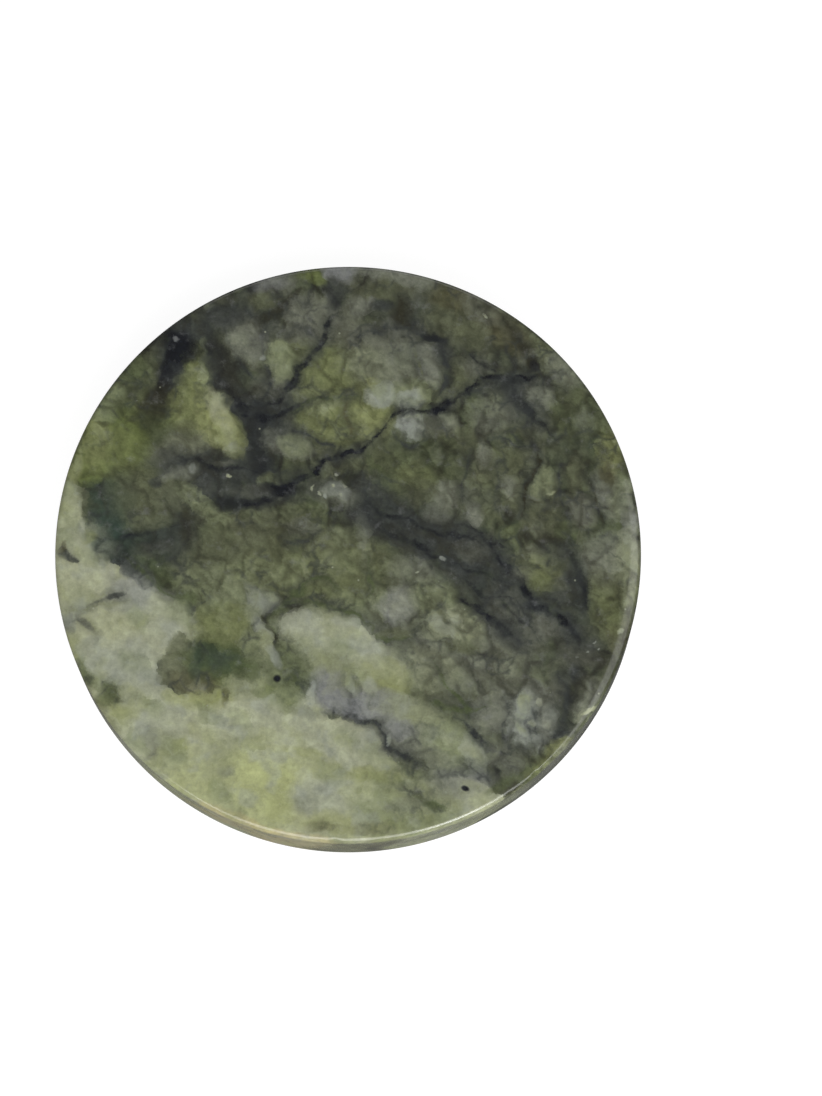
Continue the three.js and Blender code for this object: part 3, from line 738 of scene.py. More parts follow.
# Veins: points along each, across and up in mm, with its half width there in mm, then its tone
# and strength. A vein runs one way from its first point to its last.
VEINS = [
    ([(-14.9, 18.0, 0.06), (-15.5, 16.0, 0.28), (-15.9, 14.6, 0.31), (-16.3, 13.2, 0.34),
      (-16.8, 12.0, 0.31), (-16.9, 10.4, 0.06)], "bark", 0.8),
    ([(-12.5, 18.2, 0.06), (-11.7, 16.6, 0.25), (-10.9, 15.0, 0.22), (-10.2, 14.0, 0.19),
      (-9.3, 12.9, 0.25), (-8.4, 11.4, 0.06)], "ink", 0.8),
    ([(-0.8, 21.4, 0.06), (-1.6, 19.9, 0.19), (-2.2, 18.3, 0.22), (-3.3, 17.0, 0.22),
      (-4.3, 15.8, 0.25), (-4.9, 14.7, 0.28), (-6.0, 13.3, 0.22), (-7.6, 12.4, 0.06)], "ink", 0.85),
    ([(-9.2, 21.0, 0.06), (-7.4, 20.3, 0.19), (-6.2, 20.9, 0.22), (-5.0, 22.2, 0.22),
      (-3.2, 23.0, 0.06)], "bark", 0.7),
    ([(-9.2, 12.0, 0.06), (-7.8, 11.5, 0.25), (-6.2, 11.9, 0.2), (-4.4, 12.7, 0.15),
      (-3.0, 13.2, 0.06)], "ink", 0.7),
    ([(-5.0, 10.4, 0.06), (-3.6, 10.1, 0.15), (-2.4, 9.4, 0.15), (-1.0, 8.9, 0.06)], "slate", 0.8),
    ([(-7.6, 5.3, 0.12), (-5.6, 5.6, 0.25), (-4.2, 6.3, 0.22), (-2.8, 7.0, 0.17),
      (-1.5, 8.0, 0.19), (0.0, 8.5, 0.22), (1.4, 8.9, 0.15), (2.3, 10.0, 0.12),
      (3.4, 11.0, 0.06)], "ink", 1.0),
    ([(3.0, 10.6, 0.06), (4.0, 12.0, 0.15), (5.2, 12.5, 0.12), (6.6, 12.2, 0.19),
      (7.6, 12.2, 0.25), (8.6, 13.1, 0.22), (10.0, 13.9, 0.25), (11.4, 15.0, 0.25),
      (13.2, 15.0, 0.25), (15.0, 15.1, 0.25), (16.4, 15.4, 0.06)], "ink", 0.95),
    ([(13.2, 20.6, 0.06), (14.2, 18.8, 0.22), (15.4, 17.4, 0.19), (16.1, 16.0, 0.22),
      (17.0, 15.0, 0.15), (18.0, 14.4, 0.12), (19.4, 13.8, 0.03)], "bark", 0.75),
    ([(14.0, 15.4, 0.06), (14.5, 14.0, 0.25), (14.9, 12.7, 0.22), (15.8, 11.7, 0.22),
      (16.8, 10.6, 0.06)], "ink", 0.65),
    ([(16.2, 9.0, 0.06), (15.7, 7.2, 0.15), (15.2, 5.6, 0.17), (15.0, 4.0, 0.15),
      (14.6, 2.4, 0.06)], "bark", 0.95),
    ([(16.6, 1.8, 0.06), (17.8, 0.8, 0.22), (18.7, -0.2, 0.19), (19.4, -1.8, 0.28),
      (19.9, -3.4, 0.2), (20.0, -5.2, 0.06)], "ink", 0.5),
    ([(12.4, -0.4, 0.06), (13.6, -1.6, 0.22), (14.6, -2.8, 0.22), (15.6, -4.6, 0.25),
      (17.2, -5.4, 0.22), (18.4, -6.2, 0.22), (19.4, -7.4, 0.06)], "ink", 0.85),
    ([(9.2, -3.6, 0.06), (10.8, -4.7, 0.22), (12.2, -5.7, 0.25), (13.3, -6.7, 0.28),
      (14.8, -7.9, 0.06)], "ink", 0.9),
    ([(1.2, 3.8, 0.06), (2.6, 2.2, 0.19), (4.2, 1.2, 0.22), (5.6, 0.6, 0.19),
      (7.4, -0.4, 0.06)], "ink", 0.55),
    ([(-5.4, 0.8, 0.03), (-4.2, 0.9, 0.15), (-3.2, 1.3, 0.15), (-2.0, 2.0, 0.03)], "slate", 0.7),
    ([(9.6, 0.6, 0.03), (10.6, 1.3, 0.15), (11.6, 1.1, 0.15), (12.6, 0.2, 0.03)], "ink", 0.5),
    ([(-0.2, 14.0, 0.03), (-0.1, 12.4, 0.15), (0.1, 11.2, 0.15), (0.0, 9.6, 0.03)],
     "brown_olive", 0.8),
    ([(0.1, -12.4, 0.06), (0.3, -13.7, 0.22), (1.1, -14.5, 0.19), (2.3, -14.8, 0.19),
      (2.9, -15.8, 0.19), (3.4, -16.9, 0.22), (4.6, -17.5, 0.19), (6.0, -18.3, 0.19),
      (7.6, -18.8, 0.06)], "slate", 0.9),
    ([(8.6, -14.2, 0.03), (9.8, -14.7, 0.19), (10.6, -15.4, 0.22), (11.3, -16.4, 0.25),
      (12.6, -17.0, 0.06)], "slate", 0.9),
    ([(3.0, -19.0, 0.03), (4.4, -19.6, 0.12), (5.6, -20.8, 0.15), (7.2, -21.6, 0.19),
      (8.6, -21.6, 0.03)], "moss", 0.6),
    ([(17.6, -16.0, 0.03), (18.3, -15.0, 0.19), (18.6, -13.6, 0.22), (18.4, -11.8, 0.19),
      (17.6, -10.4, 0.03)], "slate", 0.7),
    ([(18.6, -7.6, 0.03), (20.0, -8.0, 0.12), (21.4, -8.7, 0.15), (22.6, -9.0, 0.03)],
     "ink", 0.6),
    ([(10.2, 17.2, 0.03), (11.6, 16.3, 0.15), (12.6, 15.7, 0.06)], "ink", 0.7),
    ([(14.9, 12.8, 0.12), (15.9, 11.9, 0.15), (17.1, 10.6, 0.12), (18.4, 9.4, 0.03)], "ink", 0.6),
    ([(12.0, 9.6, 0.03), (13.2, 9.9, 0.12), (14.4, 9.2, 0.12), (16.0, 9.4, 0.03)], "slate", 0.7),
    ([(10.2, 9.2, 0.03), (10.0, 7.4, 0.12), (9.6, 6.0, 0.15), (9.9, 4.0, 0.03)], "slate", 0.7),
    ([(12.8, 8.2, 0.03), (12.9, 6.4, 0.12), (12.4, 4.6, 0.12), (12.9, 2.8, 0.03)], "slate", 0.6),
    ([(18.4, 7.8, 0.03), (18.0, 6.2, 0.15), (18.2, 4.4, 0.12), (18.9, 2.6, 0.03)], "slate", 0.7),
    ([(20.2, 7.2, 0.03), (20.9, 5.4, 0.12), (21.3, 3.6, 0.15), (21.9, 2.0, 0.03)], "bark", 0.7),
    ([(15.2, 4.5, 0.06), (16.4, 4.4, 0.12), (17.4, 4.6, 0.03)], "bark", 0.6),
    ([(12.6, 1.6, 0.03), (12.5, 0.2, 0.15), (13.2, -1.0, 0.19), (14.2, -2.2, 0.15),
      (15.3, -3.8, 0.19), (16.0, -5.2, 0.06)], "ink", 0.7),
    ([(9.4, -2.2, 0.03), (10.7, -3.1, 0.15), (11.9, -4.0, 0.12), (13.4, -4.0, 0.12),
      (14.8, -4.8, 0.03)], "ink", 0.6),
    ([(16.2, -4.9, 0.06), (17.4, -5.3, 0.19), (18.6, -6.5, 0.19), (19.6, -8.0, 0.19),
      (20.8, -9.6, 0.06)], "ink", 0.65),
    ([(19.6, -8.0, 0.06), (19.3, -9.8, 0.19), (19.0, -11.6, 0.15), (19.2, -13.0, 0.03)],
     "slate", 0.75),
    ([(13.0, -12.0, 0.03), (13.4, -13.4, 0.12), (13.2, -15.2, 0.12), (14.0, -16.8, 0.12),
      (15.6, -17.0, 0.03)], "slate", 0.7),
    ([(15.7, -12.6, 0.03), (15.8, -13.8, 0.12), (16.0, -15.0, 0.09), (16.6, -16.4, 0.03)],
     "slate", 0.6),
    ([(6.8, -9.0, 0.03), (7.6, -10.4, 0.12), (8.4, -11.6, 0.15), (9.6, -12.8, 0.15),
      (10.4, -14.6, 0.03)], "moss", 0.8),
    ([(6.6, -12.8, 0.03), (8.4, -13.4, 0.22), (10.4, -13.6, 0.22), (12.0, -13.2, 0.03)],
     "moss", 0.8),
    ([(6.8, -6.2, 0.03), (8.2, -8.1, 0.12), (10.0, -8.4, 0.15), (11.6, -8.0, 0.03)], "bark", 0.6),
    ([(1.6, -5.8, 0.03), (2.8, -7.3, 0.12), (4.4, -7.5, 0.19), (6.4, -7.6, 0.03)], "moss", 0.8),
    ([(-5.8, -4.4, 0.03), (-3.6, -4.2, 0.15), (-1.6, -4.5, 0.19), (0.4, -5.2, 0.15),
      (1.9, -6.4, 0.03)], "moss", 0.85),
    ([(-5.6, -4.2, 0.03), (-4.4, -3.4, 0.15), (-3.2, -2.6, 0.12), (-1.8, -2.5, 0.15),
      (-0.6, -3.4, 0.03)], "moss", 0.8),
    ([(1.6, -0.2, 0.03), (1.8, -1.6, 0.12), (2.0, -3.0, 0.15), (1.4, -4.2, 0.03)], "moss", 0.7),
    ([(1.2, 7.2, 0.03), (1.2, 5.6, 0.15), (1.5, 4.2, 0.15), (1.4, 2.8, 0.03)], "slate", 0.8),
    ([(-9.6, 4.0, 0.03), (-8.0, 4.2, 0.19), (-6.4, 4.8, 0.19), (-4.8, 5.2, 0.06)], "ink", 0.8),
    ([(-14.6, 7.8, 0.03), (-12.8, 8.0, 0.15), (-11.0, 7.0, 0.15), (-9.4, 7.4, 0.15),
      (-7.8, 6.8, 0.06)], "ink", 0.75),
    ([(-16.8, 6.2, 0.03), (-15.0, 7.2, 0.12), (-13.2, 8.4, 0.15), (-11.8, 8.9, 0.03)],
     "slate", 0.8),
    ([(-14.4, 3.6, 0.06), (-13.9, 2.2, 0.19), (-14.0, 0.6, 0.15), (-15.0, -0.8, 0.03)],
     "slate", 0.8),
    ([(-19.2, -0.6, 0.06), (-17.8, -1.3, 0.19), (-16.6, -2.4, 0.15), (-14.6, -4.2, 0.06)],
     "moss", 0.8),
    ([(-19.0, 1.2, 0.06), (-17.8, 1.7, 0.19), (-16.6, 2.4, 0.15), (-15.2, 2.8, 0.03)],
     "ink", 0.8),
    ([(-8.0, 12.6, 0.06), (-6.9, 14.4, 0.12), (-7.2, 16.4, 0.15), (-7.4, 18.4, 0.12),
      (-6.6, 20.2, 0.03)], "slate", 0.75),
    ([(-10.6, 19.4, 0.03), (-9.6, 16.6, 0.12), (-8.2, 15.2, 0.12), (-6.8, 14.6, 0.03)],
     "slate", 0.6),
    ([(-5.6, 18.2, 0.03), (-4.6, 19.4, 0.12), (-3.0, 19.0, 0.12), (-2.2, 18.4, 0.06)],
     "slate", 0.7),
    ([(0.4, 18.4, 0.03), (2.2, 19.3, 0.15), (4.0, 19.6, 0.19), (5.8, 19.2, 0.19),
      (7.2, 18.6, 0.06)], "slate", 0.8),
    ([(4.2, 22.5, 0.03), (4.4, 21.6, 0.19), (4.3, 20.4, 0.22), (5.4, 19.4, 0.06)], "bark", 0.8),
    ([(-0.4, 22.8, 0.06), (0.9, 23.4, 0.15), (1.7, 24.6, 0.03)], "ink", 0.6),
    ([(6.2, 18.2, 0.03), (5.9, 16.6, 0.12), (6.4, 15.2, 0.03)], "drab", 0.9),
    ([(7.2, 18.4, 0.06), (8.2, 17.0, 0.15), (8.2, 15.2, 0.15), (7.8, 13.4, 0.06)], "slate", 0.8),
    ([(-4.6, 11.9, 0.03), (-3.2, 13.1, 0.12), (-1.4, 13.4, 0.15), (1.2, 13.5, 0.03)],
     "moss", 0.85),
    ([(3.6, 10.4, 0.03), (4.2, 9.6, 0.12), (5.6, 9.2, 0.12), (7.0, 9.9, 0.03)], "slate", 0.7),
    ([(-24.5, 0.6, 0.06), (-23.8, -0.3, 0.14), (-22.9, -0.9, 0.03)], "slate", 0.8),
    ([(-22.2, -4.8, 0.03), (-20.9, -4.3, 0.12), (-19.6, -3.6, 0.15), (-19.0, -3.3, 0.03)],
     "ash", 0.75),
    ([(-24.4, -5.1, 0.06), (-22.6, -5.0, 0.07), (-21.0, -4.9, 0.03)], "olive", 0.8),
    ([(-24.2, -6.4, 0.09), (-22.8, -6.0, 0.12), (-21.8, -7.0, 0.12), (-21.2, -7.9, 0.03)],
     "ash", 0.6),
    ([(-16.9, -15.2, 0.03), (-16.4, -16.4, 0.12), (-16.8, -17.6, 0.03)], "ash", 0.4),
    ([(-21.2, -11.0, 0.03), (-20.2, -12.0, 0.19), (-18.4, -12.6, 0.09), (-17.4, -12.3, 0.03)],
     "drab", 0.7),
    ([(1.4, 4.2, 0.03), (3.4, 3.2, 0.15), (5.4, 2.6, 0.12), (7.6, 1.6, 0.16),
      (9.6, 1.4, 0.12), (11.6, 0.6, 0.03)], "ink", 0.7),
    ([(5.0, 1.6, 0.03), (7.0, -0.2, 0.15), (9.2, -1.0, 0.12), (11.4, -2.2, 0.15),
      (13.6, -2.6, 0.03)], "ink", 0.6),
    ([(8.8, 2.4, 0.03), (10.8, 1.8, 0.12), (12.4, 0.8, 0.15), (14.0, 0.2, 0.03)], "ink", 0.6),
    ([(13.0, -3.4, 0.03), (13.6, -5.0, 0.14), (15.2, -6.2, 0.12), (16.4, -7.8, 0.03)],
     "ink", 0.6),
    ([(10.6, -5.4, 0.03), (11.8, -4.4, 0.12), (13.4, -3.0, 0.15), (15.0, -1.0, 0.03)],
     "slate", 0.6),
    ([(14.9, -12.4, 0.03), (15.3, -13.4, 0.1), (15.1, -14.6, 0.12), (15.6, -15.8, 0.1),
      (15.4, -16.8, 0.03)], "slate", 0.5),
    ([(13.8, -14.0, 0.03), (15.0, -14.3, 0.1), (16.3, -13.9, 0.12), (17.6, -13.6, 0.03)],
     "slate", 0.5),
    ([(15.2, -15.2, 0.03), (16.4, -15.3, 0.1), (17.4, -15.0, 0.03)], "slate", 0.5),
]


# How far the markings lean over, across and up in mm, for each mm of depth
LEAN = (0.35, -0.2, 0.0)


def shaken(mm):
    """Where a point of the stone belongs in the plan of markings, drawn for the upper face.

    Below that face the plan leans over and wanders with depth, so a marking runs on down the
    wall and comes out of the underside somewhere else. Two noises shake it everywhere, so that
    no marking has a drawn outline.
    """
    depth = THICKNESS - mm.axis("Z")
    wander = (mm.noise(9.0, 1.0, output=1) - 0.5) * depth
    shake = mm.noise(3.6, 1.0, output=1) - 0.5
    roam = mm.noise(1.9, 1.0, output=1) - 0.5
    quiver = mm.noise(0.9, 4.0, 0.65, output=1) - 0.5
    return mm + wander * 1.1 + shake * 1.0 + roam * 0.9 + quiver * 0.75 + depth * LEAN


def grained(place, size, share):
    """The place drawn a share of the way to the middle of its grain, of about that size in mm.

    A marking's edge then follows the edges of grains, as in a stone of crystals.
    """
    middle = place.cells(size, output="Position")
    return place + (middle - place) * share


def in_plan(place):
    """The place across and up, with a third number that is always 1, as line_across expects."""
    return place * (1.0, 1.0, 0.0) + (0.0, 0.0, 1.0)


def line_across(middle_x, middle_y, degrees, half_size):
    """The three numbers whose product with (x, y, 1) is the distance along a turned line.

    The distance is 0 at the middle and 1 at half_size from it, towards the turned +X.
    """
    turned = math.radians(degrees)
    x, y = math.cos(turned) / half_size, math.sin(turned) / half_size
    return (x, y, -(x * middle_x + y * middle_y))


def grouped(name, kinds, draw):
    """A node group with these kinds of sockets in, and out of it the colour that draw makes."""
    group = bpy.data.node_groups.new(name, "ShaderNodeTree")
    for socket, kind in kinds.items():
        group.interface.new_socket(socket, in_out="INPUT", socket_type=kind)
    group.interface.new_socket("Colour", in_out="OUTPUT", socket_type="NodeSocketColor")
    given = group.nodes.new("NodeGroupInput")
    made = draw(*[Field(group, given.outputs[socket]) for socket in kinds])
    group.links.new(made.socket, group.nodes.new("NodeGroupOutput").inputs["Colour"])
    return group


# Where an oval's tone ends and where it is whole, in half sizes, before its softness counts
OVAL_OUTSIDE = 1.15
OVAL_INSIDE = 0.85


def oval_over(colour, place, long_axis, short_axis, outside, inside, strength, tone):
    """The colour with an oval of another tone laid over it.

    With u and v the distances along the oval's two axes, in half sizes, the share of its tone
    eases from none, where u * u + v * v is outside, to all of its strength, where it is inside.
    """
    u = place.dot(long_axis)
    v = place.dot(short_axis)
    return colour.towards(tone, (u * u + v * v).ease(outside, inside, 0.0, strength))


def marking_group():
    """The node group that lays any one oval marking over a colour."""
    kinds = {
        "Colour": "NodeSocketColor",
        "Place": "NodeSocketVector",
        "Long axis": "NodeSocketVector",
        "Short axis": "NodeSocketVector",
        "Outside": "NodeSocketFloat",
        "Inside": "NodeSocketFloat",
        "Strength": "NodeSocketFloat",
        "Tone": "NodeSocketColor",
    }
    return grouped("marking", kinds, oval_over)


def marked(colour, place, marking, group):
    """The colour with one oval marking laid over it."""
    across, up, half_x, half_y, turned, softness, tone, strength = marking
    sockets = {
        "Colour": colour,
        "Place": place,
        "Long axis": line_across(across, up, turned, half_x),
        "Short axis": line_across(across, up, turned + 90, half_y),
        "Outside": (OVAL_OUTSIDE + softness) ** 2,
        "Inside": (OVAL_INSIDE - softness) ** 2,
        "Strength": strength,
        "Tone": TONES[tone],
    }
    return place.node("ShaderNodeGroup", {"node_tree": group}, sockets, "Colour")


def along_chord(place, points):
    """Coordinates along a line of points, and the points in them.

    Across goes from 0 at the first point to 1 at the last, and up is the distance in mm to the
    left of the chord between them.
    """
    (x0, y0), (x1, y1) = points[0][:2], points[-1][:2]
    chord = math.hypot(x1 - x0, y1 - y0)
    degrees = math.degrees(math.atan2(y1 - y0, x1 - x0))
    across_line = line_across(x0, y0, degrees, chord)
    up_line = line_across(x0, y0, degrees + 90, 1)
    drawn = [tuple(np.dot(axis, (*point[:2], 1)) for axis in (across_line, up_line))
             for point in points]
    return place.dot(across_line), place.dot(up_line), drawn


# The furthest that a line of points strays from its chord, in mm, which is the height of its curve
CURVE_REACH = 12.0


def curve_up(across, drawn):
    """How far a curve through the drawn points lies to the left of their chord, in mm."""
    line = [(a, 0.5 + b / CURVE_REACH / 2) for a, b in drawn]
    height = across.node("ShaderNodeFloatCurve", {"curve": line}, {"Value": across})
    return (height - 0.5) * (2 * CURVE_REACH)


# How much a vein's edges come and go, in mm, and how much each mm off its line counts
RAGGED = 0.3
OFF_LINE = 0.62

# Between which depths into a vein, in mm, its smoke and its line come up, and the smoke's share
# of the vein's strength
SMOKE_EDGE = (-0.5, 0.15)
LINE_EDGE = (-0.02, 0.2)
SMOKE_SHARE = 0.5


def vein_over(colour, place, ragged, vein):
    """The colour with a vein drawn over it, by the distance from its line along its chord."""
    points, tone, strength = vein
    across, up, drawn = along_chord(place, points)
    widths = [(a, half) for (a, _), (_, _, half) in zip(drawn, points)]
    half = across.node("ShaderNodeFloatCurve", {"curve": widths}, {"Value": across})
    off_line = abs(up - curve_up(across, drawn))
    depth_in = half + (ragged - 0.4) * RAGGED - off_line * OFF_LINE
    inside = abs(across - 0.5).ease(0.52, 0.45)
    smoke = depth_in.ease(*SMOKE_EDGE, 0.0, strength * SMOKE_SHARE) * inside
    line = depth_in.ease(*LINE_EDGE, 0.0, strength) * inside * ragged.ease(0.35, 0.6, 0.45, 1.1)
    return colour.towards(TONES["slate"], smoke).towards(TONES[tone], line)


def veined(colour, place, ragged, vein):
    """The colour with one vein over it, in a node group of its own."""
    kinds = {"Colour": "NodeSocketColor", "Place": "NodeSocketVector", "Ragged": "NodeSocketFloat"}
    group = grouped("vein", kinds, lambda *given: vein_over(*given, vein))
    sockets = {"Colour": colour, "Place": place, "Ragged": ragged}
    return place.node("ShaderNodeGroup", {"node_tree": group}, sockets, "Colour")


def shore_share(place, shore):
    """How much of the pale ground there is at each place: none above its shore, all below it."""
    across, up, drawn = along_chord(place, shore)
    return (curve_up(across, drawn) - up).ease(-0.15, 0.35)


def drawn_out(place, degrees, times):
    """The place, turned and squeezed so that cells laid on it come out longer that way."""
    turned = math.radians(degrees)
    along = (math.cos(turned) / times, math.sin(turned) / times, 0.0)
    beside = (-math.sin(turned), math.cos(turned), 0.0)
    return place.node(
        "ShaderNodeCombineXYZ",
        {},
        {"X": place.dot(along), "Y": place.dot(beside), "Z": place.dot((0.0, 0.0, 1.0))},
    )


def seams(place, size, wide):
    """Dark lines between lumps of about that size in mm, up to wide mm across, broken up."""
    edge = place.cells(size, "DISTANCE_TO_EDGE")
    whole = edge.ease(wide / size, 0.0)
    return whole * place.noise(size * 1.3, 2.0).ease(0.42, 0.58)


def strands(place, size, wide):
    """Thin wandering lines, a few to each size in mm, where a soft noise is near its middle."""
    near_middle = abs(place.noise(size, 1.0, 0.4) - 0.5).ease(wide, 0.0)
    return near_middle * place.noise(size * 0.7, 1.0).ease(0.45, 0.6)


# About how wide the dark ground's lumps are, in mm, and the small ones in them
LUMP = 2.1
SMALL_LUMP = 0.95


def netted(moved, upright):
    """The dark ground: upright lumps, each pale in its middle, in a dark mass with seams."""
    number = upright.cells(LUMP, output="Color").dot((1.0, 0.0, 0.0))
    middle = upright.cells(LUMP).ease(0.65, 0.1)
    ground = number.ease(0.6, 0.0, 0.0, 0.7).between(TONES["drab"], TONES["moss"])
    ground = ground.towards(TONES["fog"], number.ease(0.3, 1.0, 0.1, 0.9) * middle)
    ground = ground.towards(TONES["ink"], seams(upright, LUMP, 0.5) * 0.8)
    small = moved.cells(SMALL_LUMP).ease(0.65, 0.15)
    ground = ground.towards(TONES["celadon"], small * 0.2)
    return ground.towards(TONES["bark"], seams(moved, SMALL_LUMP, 0.22) * 0.35)


def shared_fields(mm):
    """What every region's colour is made from, by name, each worked out once.

    Fine dark threads lie in the dark grounds and drifts of milk and straw in the pale ones. A
    few glints, cloudy light and shade and a fine grain are everywhere.
    """
    moved = shaken(mm)
    upright = drawn_out(moved, 90, 1.4)
    slanting = drawn_out(moved, -38, 1.7)
    grain_place = in_plan(grained(grained(moved, 1.1, 0.2), 0.45, 0.3))
    here_and_there = mm.noise(4.0, 1.0).ease(0.42, 0.58)
    patch = slanting.cells(1.7, output="Color").dot((0.0, 0.0, 1.0))
    core = slanting.cells(1.7).ease(0.7, 0.25)
    veil = moved.noise(2.4, 2.0, 0.55)
    drift = mm.noise(1.4, 4.0, 0.65)
    chosen = mm.cells(1.2, output="Color").dot((0.0, 1.0, 0.0)).ease(0.78, 0.82)
    clouds = (mm.noise(2.2, 3.0, 0.6) - 0.5) * 0.5 + (moved.noise(0.8, 2.0) - 0.5) * 0.45
    return {
        "plan": moved,
        "grain place": grain_place,
        "vein place": in_plan(moved * 0.8 + grain_place * 0.2),
        "still place": in_plan(mm),
        "ragged": mm.noise(1.0, 4.0, 0.65),
        "ground": netted(moved, upright),
        "pale ground": shore_share(grain_place, PALE_SHORE),
        "slanting cracks": seams(slanting, 1.5, 0.4) * 0.4,
        "upright cracks": seams(upright, LUMP, 0.3) * 0.4,
        "dark hairs": strands(slanting, 2.2, 0.03) * 0.2,
        "threads": seams(moved, 1.3, 0.25) * here_and_there * 0.6,
        "cream cores": patch.ease(0.6, 1.0, 0.0, 0.45) * core,
        "green cores": patch.ease(0.45, 0.0, 0.0, 0.6) * core,
        "milk veils": veil.ease(0.52, 0.68, 0.0, 0.42),
        "straw veils": veil.ease(0.47, 0.33, 0.0, 0.3),
        "pale hairs": strands(moved, 1.5, 0.04) * 0.15,
        "mossy drifts": drift.ease(0.55, 0.8, 0.0, 0.3),
        "lilac drifts": drift.ease(0.45, 0.25, 0.0, 0.25),
        "glints": mm.cells(1.2).ease(0.1, 0.04) * chosen * 0.6,
        "grain": mm.noise(0.45, 4.0, 0.7) - 0.5,
        "strokes": (drawn_out(moved, -38, 2.6).noise(0.7, 3.0, 0.6) - 0.5) * 0.9,
        "clouds": clouds + 1.0,
    }


# The tones of the shared fields that are laid over the dark ground, the pale ground and both
CRACKS = [("slanting cracks", "bark"), ("upright cracks", "bark"), ("dark hairs", "ink")]
IN_PALE = [
    ("cream cores", "cream"),
    ("green cores", "celadon"),
    ("milk veils", "milk"),
    ("straw veils", "straw"),
    ("pale hairs", "cream"),
]
EVERYWHERE = [("mossy drifts", "moss"), ("lilac drifts", "lilac"), ("glints", "bone")]


# How much red, green and blue count in a colour's lightness, and the lightness from which a
# place counts as pale ground and the one up to which it counts as dark
LIGHTNESS = (0.2126, 0.7152, 0.0722)
PALE_FROM = 0.26
DARK_TO = 0.12


def mottled(colour, fields):
    """The colour with what runs all through the stone laid over it."""
    darkness = colour.dot(LIGHTNESS).ease(PALE_FROM, DARK_TO)
    paleness = 1.0 - darkness
    colour = colour.towards(TONES["slate"], fields["threads"] * darkness)
    for name, tone in IN_PALE:
        colour = colour.towards(TONES[tone], fields[name] * paleness)
    for name, tone in EVERYWHERE:
        colour = colour.towards(TONES[tone], fields[name])
    grain = fields["grain"] * darkness.ease(0.0, 1.0, 0.75, 1.1)
    return colour * (fields["clouds"] + grain + fields["strokes"] * darkness)


# The lines across and up, in mm, that part the plan of markings into regions
REGION_LINES = (-12.5, 0.0, 12.5)

# How far past its own reach a marking still counts as near a region, in mm: an oval, because its
# edge follows the grains, a vein, because its line bends and has smoke, and a pit's dark mark,
# because it isn't shaken as the plan is
OVAL_MARGIN = 0.7
VEIN_MARGIN = 2.6
PIT_MARGIN = 3.0


def oval_reach(marking):
    """How far an oval goes to each side: its left, right, lowest and highest places."""
    across, up, half_x, half_y, turned, softness = marking[:6]
    c, s = math.cos(math.radians(turned)), math.sin(math.radians(turned))
    wide = (OVAL_OUTSIDE + softness) * math.hypot(half_x * c, half_y * s)
    tall = (OVAL_OUTSIDE + softness) * math.hypot(half_x * s, half_y * c)
    return across - wide, across + wide, up - tall, up + tall


def vein_reach(vein):
    """How far a vein goes to each side: its left, right, lowest and highest places."""
    across, up = zip(*[point[:2] for point in vein[0]])
    return min(across), max(across), min(up), max(up)


def near(region, reach, margin):
    """Whether something with that reach, widened by the margin, touches the region."""
    left, right, low, high = region
    return (
        reach[1] + margin > left
        and reach[0] - margin < right
        and reach[3] + margin > low
        and reach[2] - margin < high
    )


def region_middle(region):
    """The middle of a region's part of the stone, across and up in mm."""
    left, right, low, high = [max(-RADIUS, min(RADIUS, edge)) for edge in region]
    return (left + right) / 2, (low + high) / 2


def ovals_near(colour, place, markings, region, group, margin=OVAL_MARGIN):
    """The colour with those of the ovals laid over it that come near the region."""
    x, y = region_middle(region)
    here = place - (x, y, 0.0)
    for marking in markings:
        if near(region, oval_reach(marking), margin):
            moved = (marking[0] - x, marking[1] - y, *marking[2:])
            colour = marked(colour, here, moved, group)
    return colour


def veins_near(colour, place, ragged, region):
    """The colour with those of the veins over it that come near the region."""
    x, y = region_middle(region)
    here = place - (x, y, 0.0)
    for vein in VEINS:
        if near(region, vein_reach(vein), VEIN_MARGIN):
            points = [(across - x, up - y, half) for across, up, half in vein[0]]
            colour = veined(colour, here, ragged, (points, *vein[1:]))
    return colour


def jade_colour(fields, region, group):
    """The colour in one region: grounds, patches, lumps and veins, spots and specks, painted glints
    and highlights, then the mottling.
    """
    grain_place, vein_place = fields["grain place"], fields["vein place"]
    colour = ovals_near(fields["ground"], grain_place, DARK_GROUND + GREEN_GROUND, region, group)
    colour = ovals_near(colour, grain_place, LUMPS_AND_EDGE_HIGHLIGHT, region, group)
    for name, tone in CRACKS:
        colour = colour.towards(TONES[tone], fields[name])
    colour = ovals_near(colour, grain_place, PALE_LENS, region, group)
    colour = colour.towards(TONES["lime"], fields["pale ground"])
    colour = ovals_near(colour, grain_place, PALE_GROUND + MOSS_PATCH, region, group)
    colour = veins_near(colour, vein_place, fields["ragged"], region)
    over_veins = DARK_SPOTS + PALE_SPECKS_AND_GLINTS + WALL_PATCHES
    colour = ovals_near(colour, vein_place, over_veins, region, group)
    colour = ovals_near(colour, fields["still place"], PIT_DARKENING, region, group, PIT_MARGIN)
    return mottled(colour, fields)


def region_colour(fields, region, group):
    """The colour in one region, in a node group that is given the shared fields."""
    sockets = {"VALUE": "NodeSocketFloat", "VECTOR": "NodeSocketVector", "RGBA": "NodeSocketColor"}
    kinds = {name: sockets[field.socket.type] for name, field in fields.items()}
    drawn = grouped("region", kinds, lambda *g: jade_colour(dict(zip(kinds, g)), region, group))
    return fields["plan"].node("ShaderNodeGroup", {"node_tree": drawn}, fields, "Colour")


def in_strips(place, shader_between):
    """The shaders of the strips between the region lines, of which a render needs only one.

    place is a number in mm, and shader_between makes the shader from one line to the next.
    """
    lines = (-math.inf, *REGION_LINES, math.inf)
    shader = shader_between(*lines[:2])
    for low, high in zip(lines[1:], lines[2:]):
        past = place.maths("GREATER_THAN", place, low)
        strip = shader_between(low, high)
        shader = past.node("ShaderNodeMixShader", {}, {0: past, 1: shader, 2: strip}, "Shader")
    return shader


# The polish where a soft noise is low and where it is high, and how far light gets into the
# stone, in metres for a red of 1
ROUGHNESS = (0.14, 0.22)
LIGHT_DEPTH = 0.8 * MM


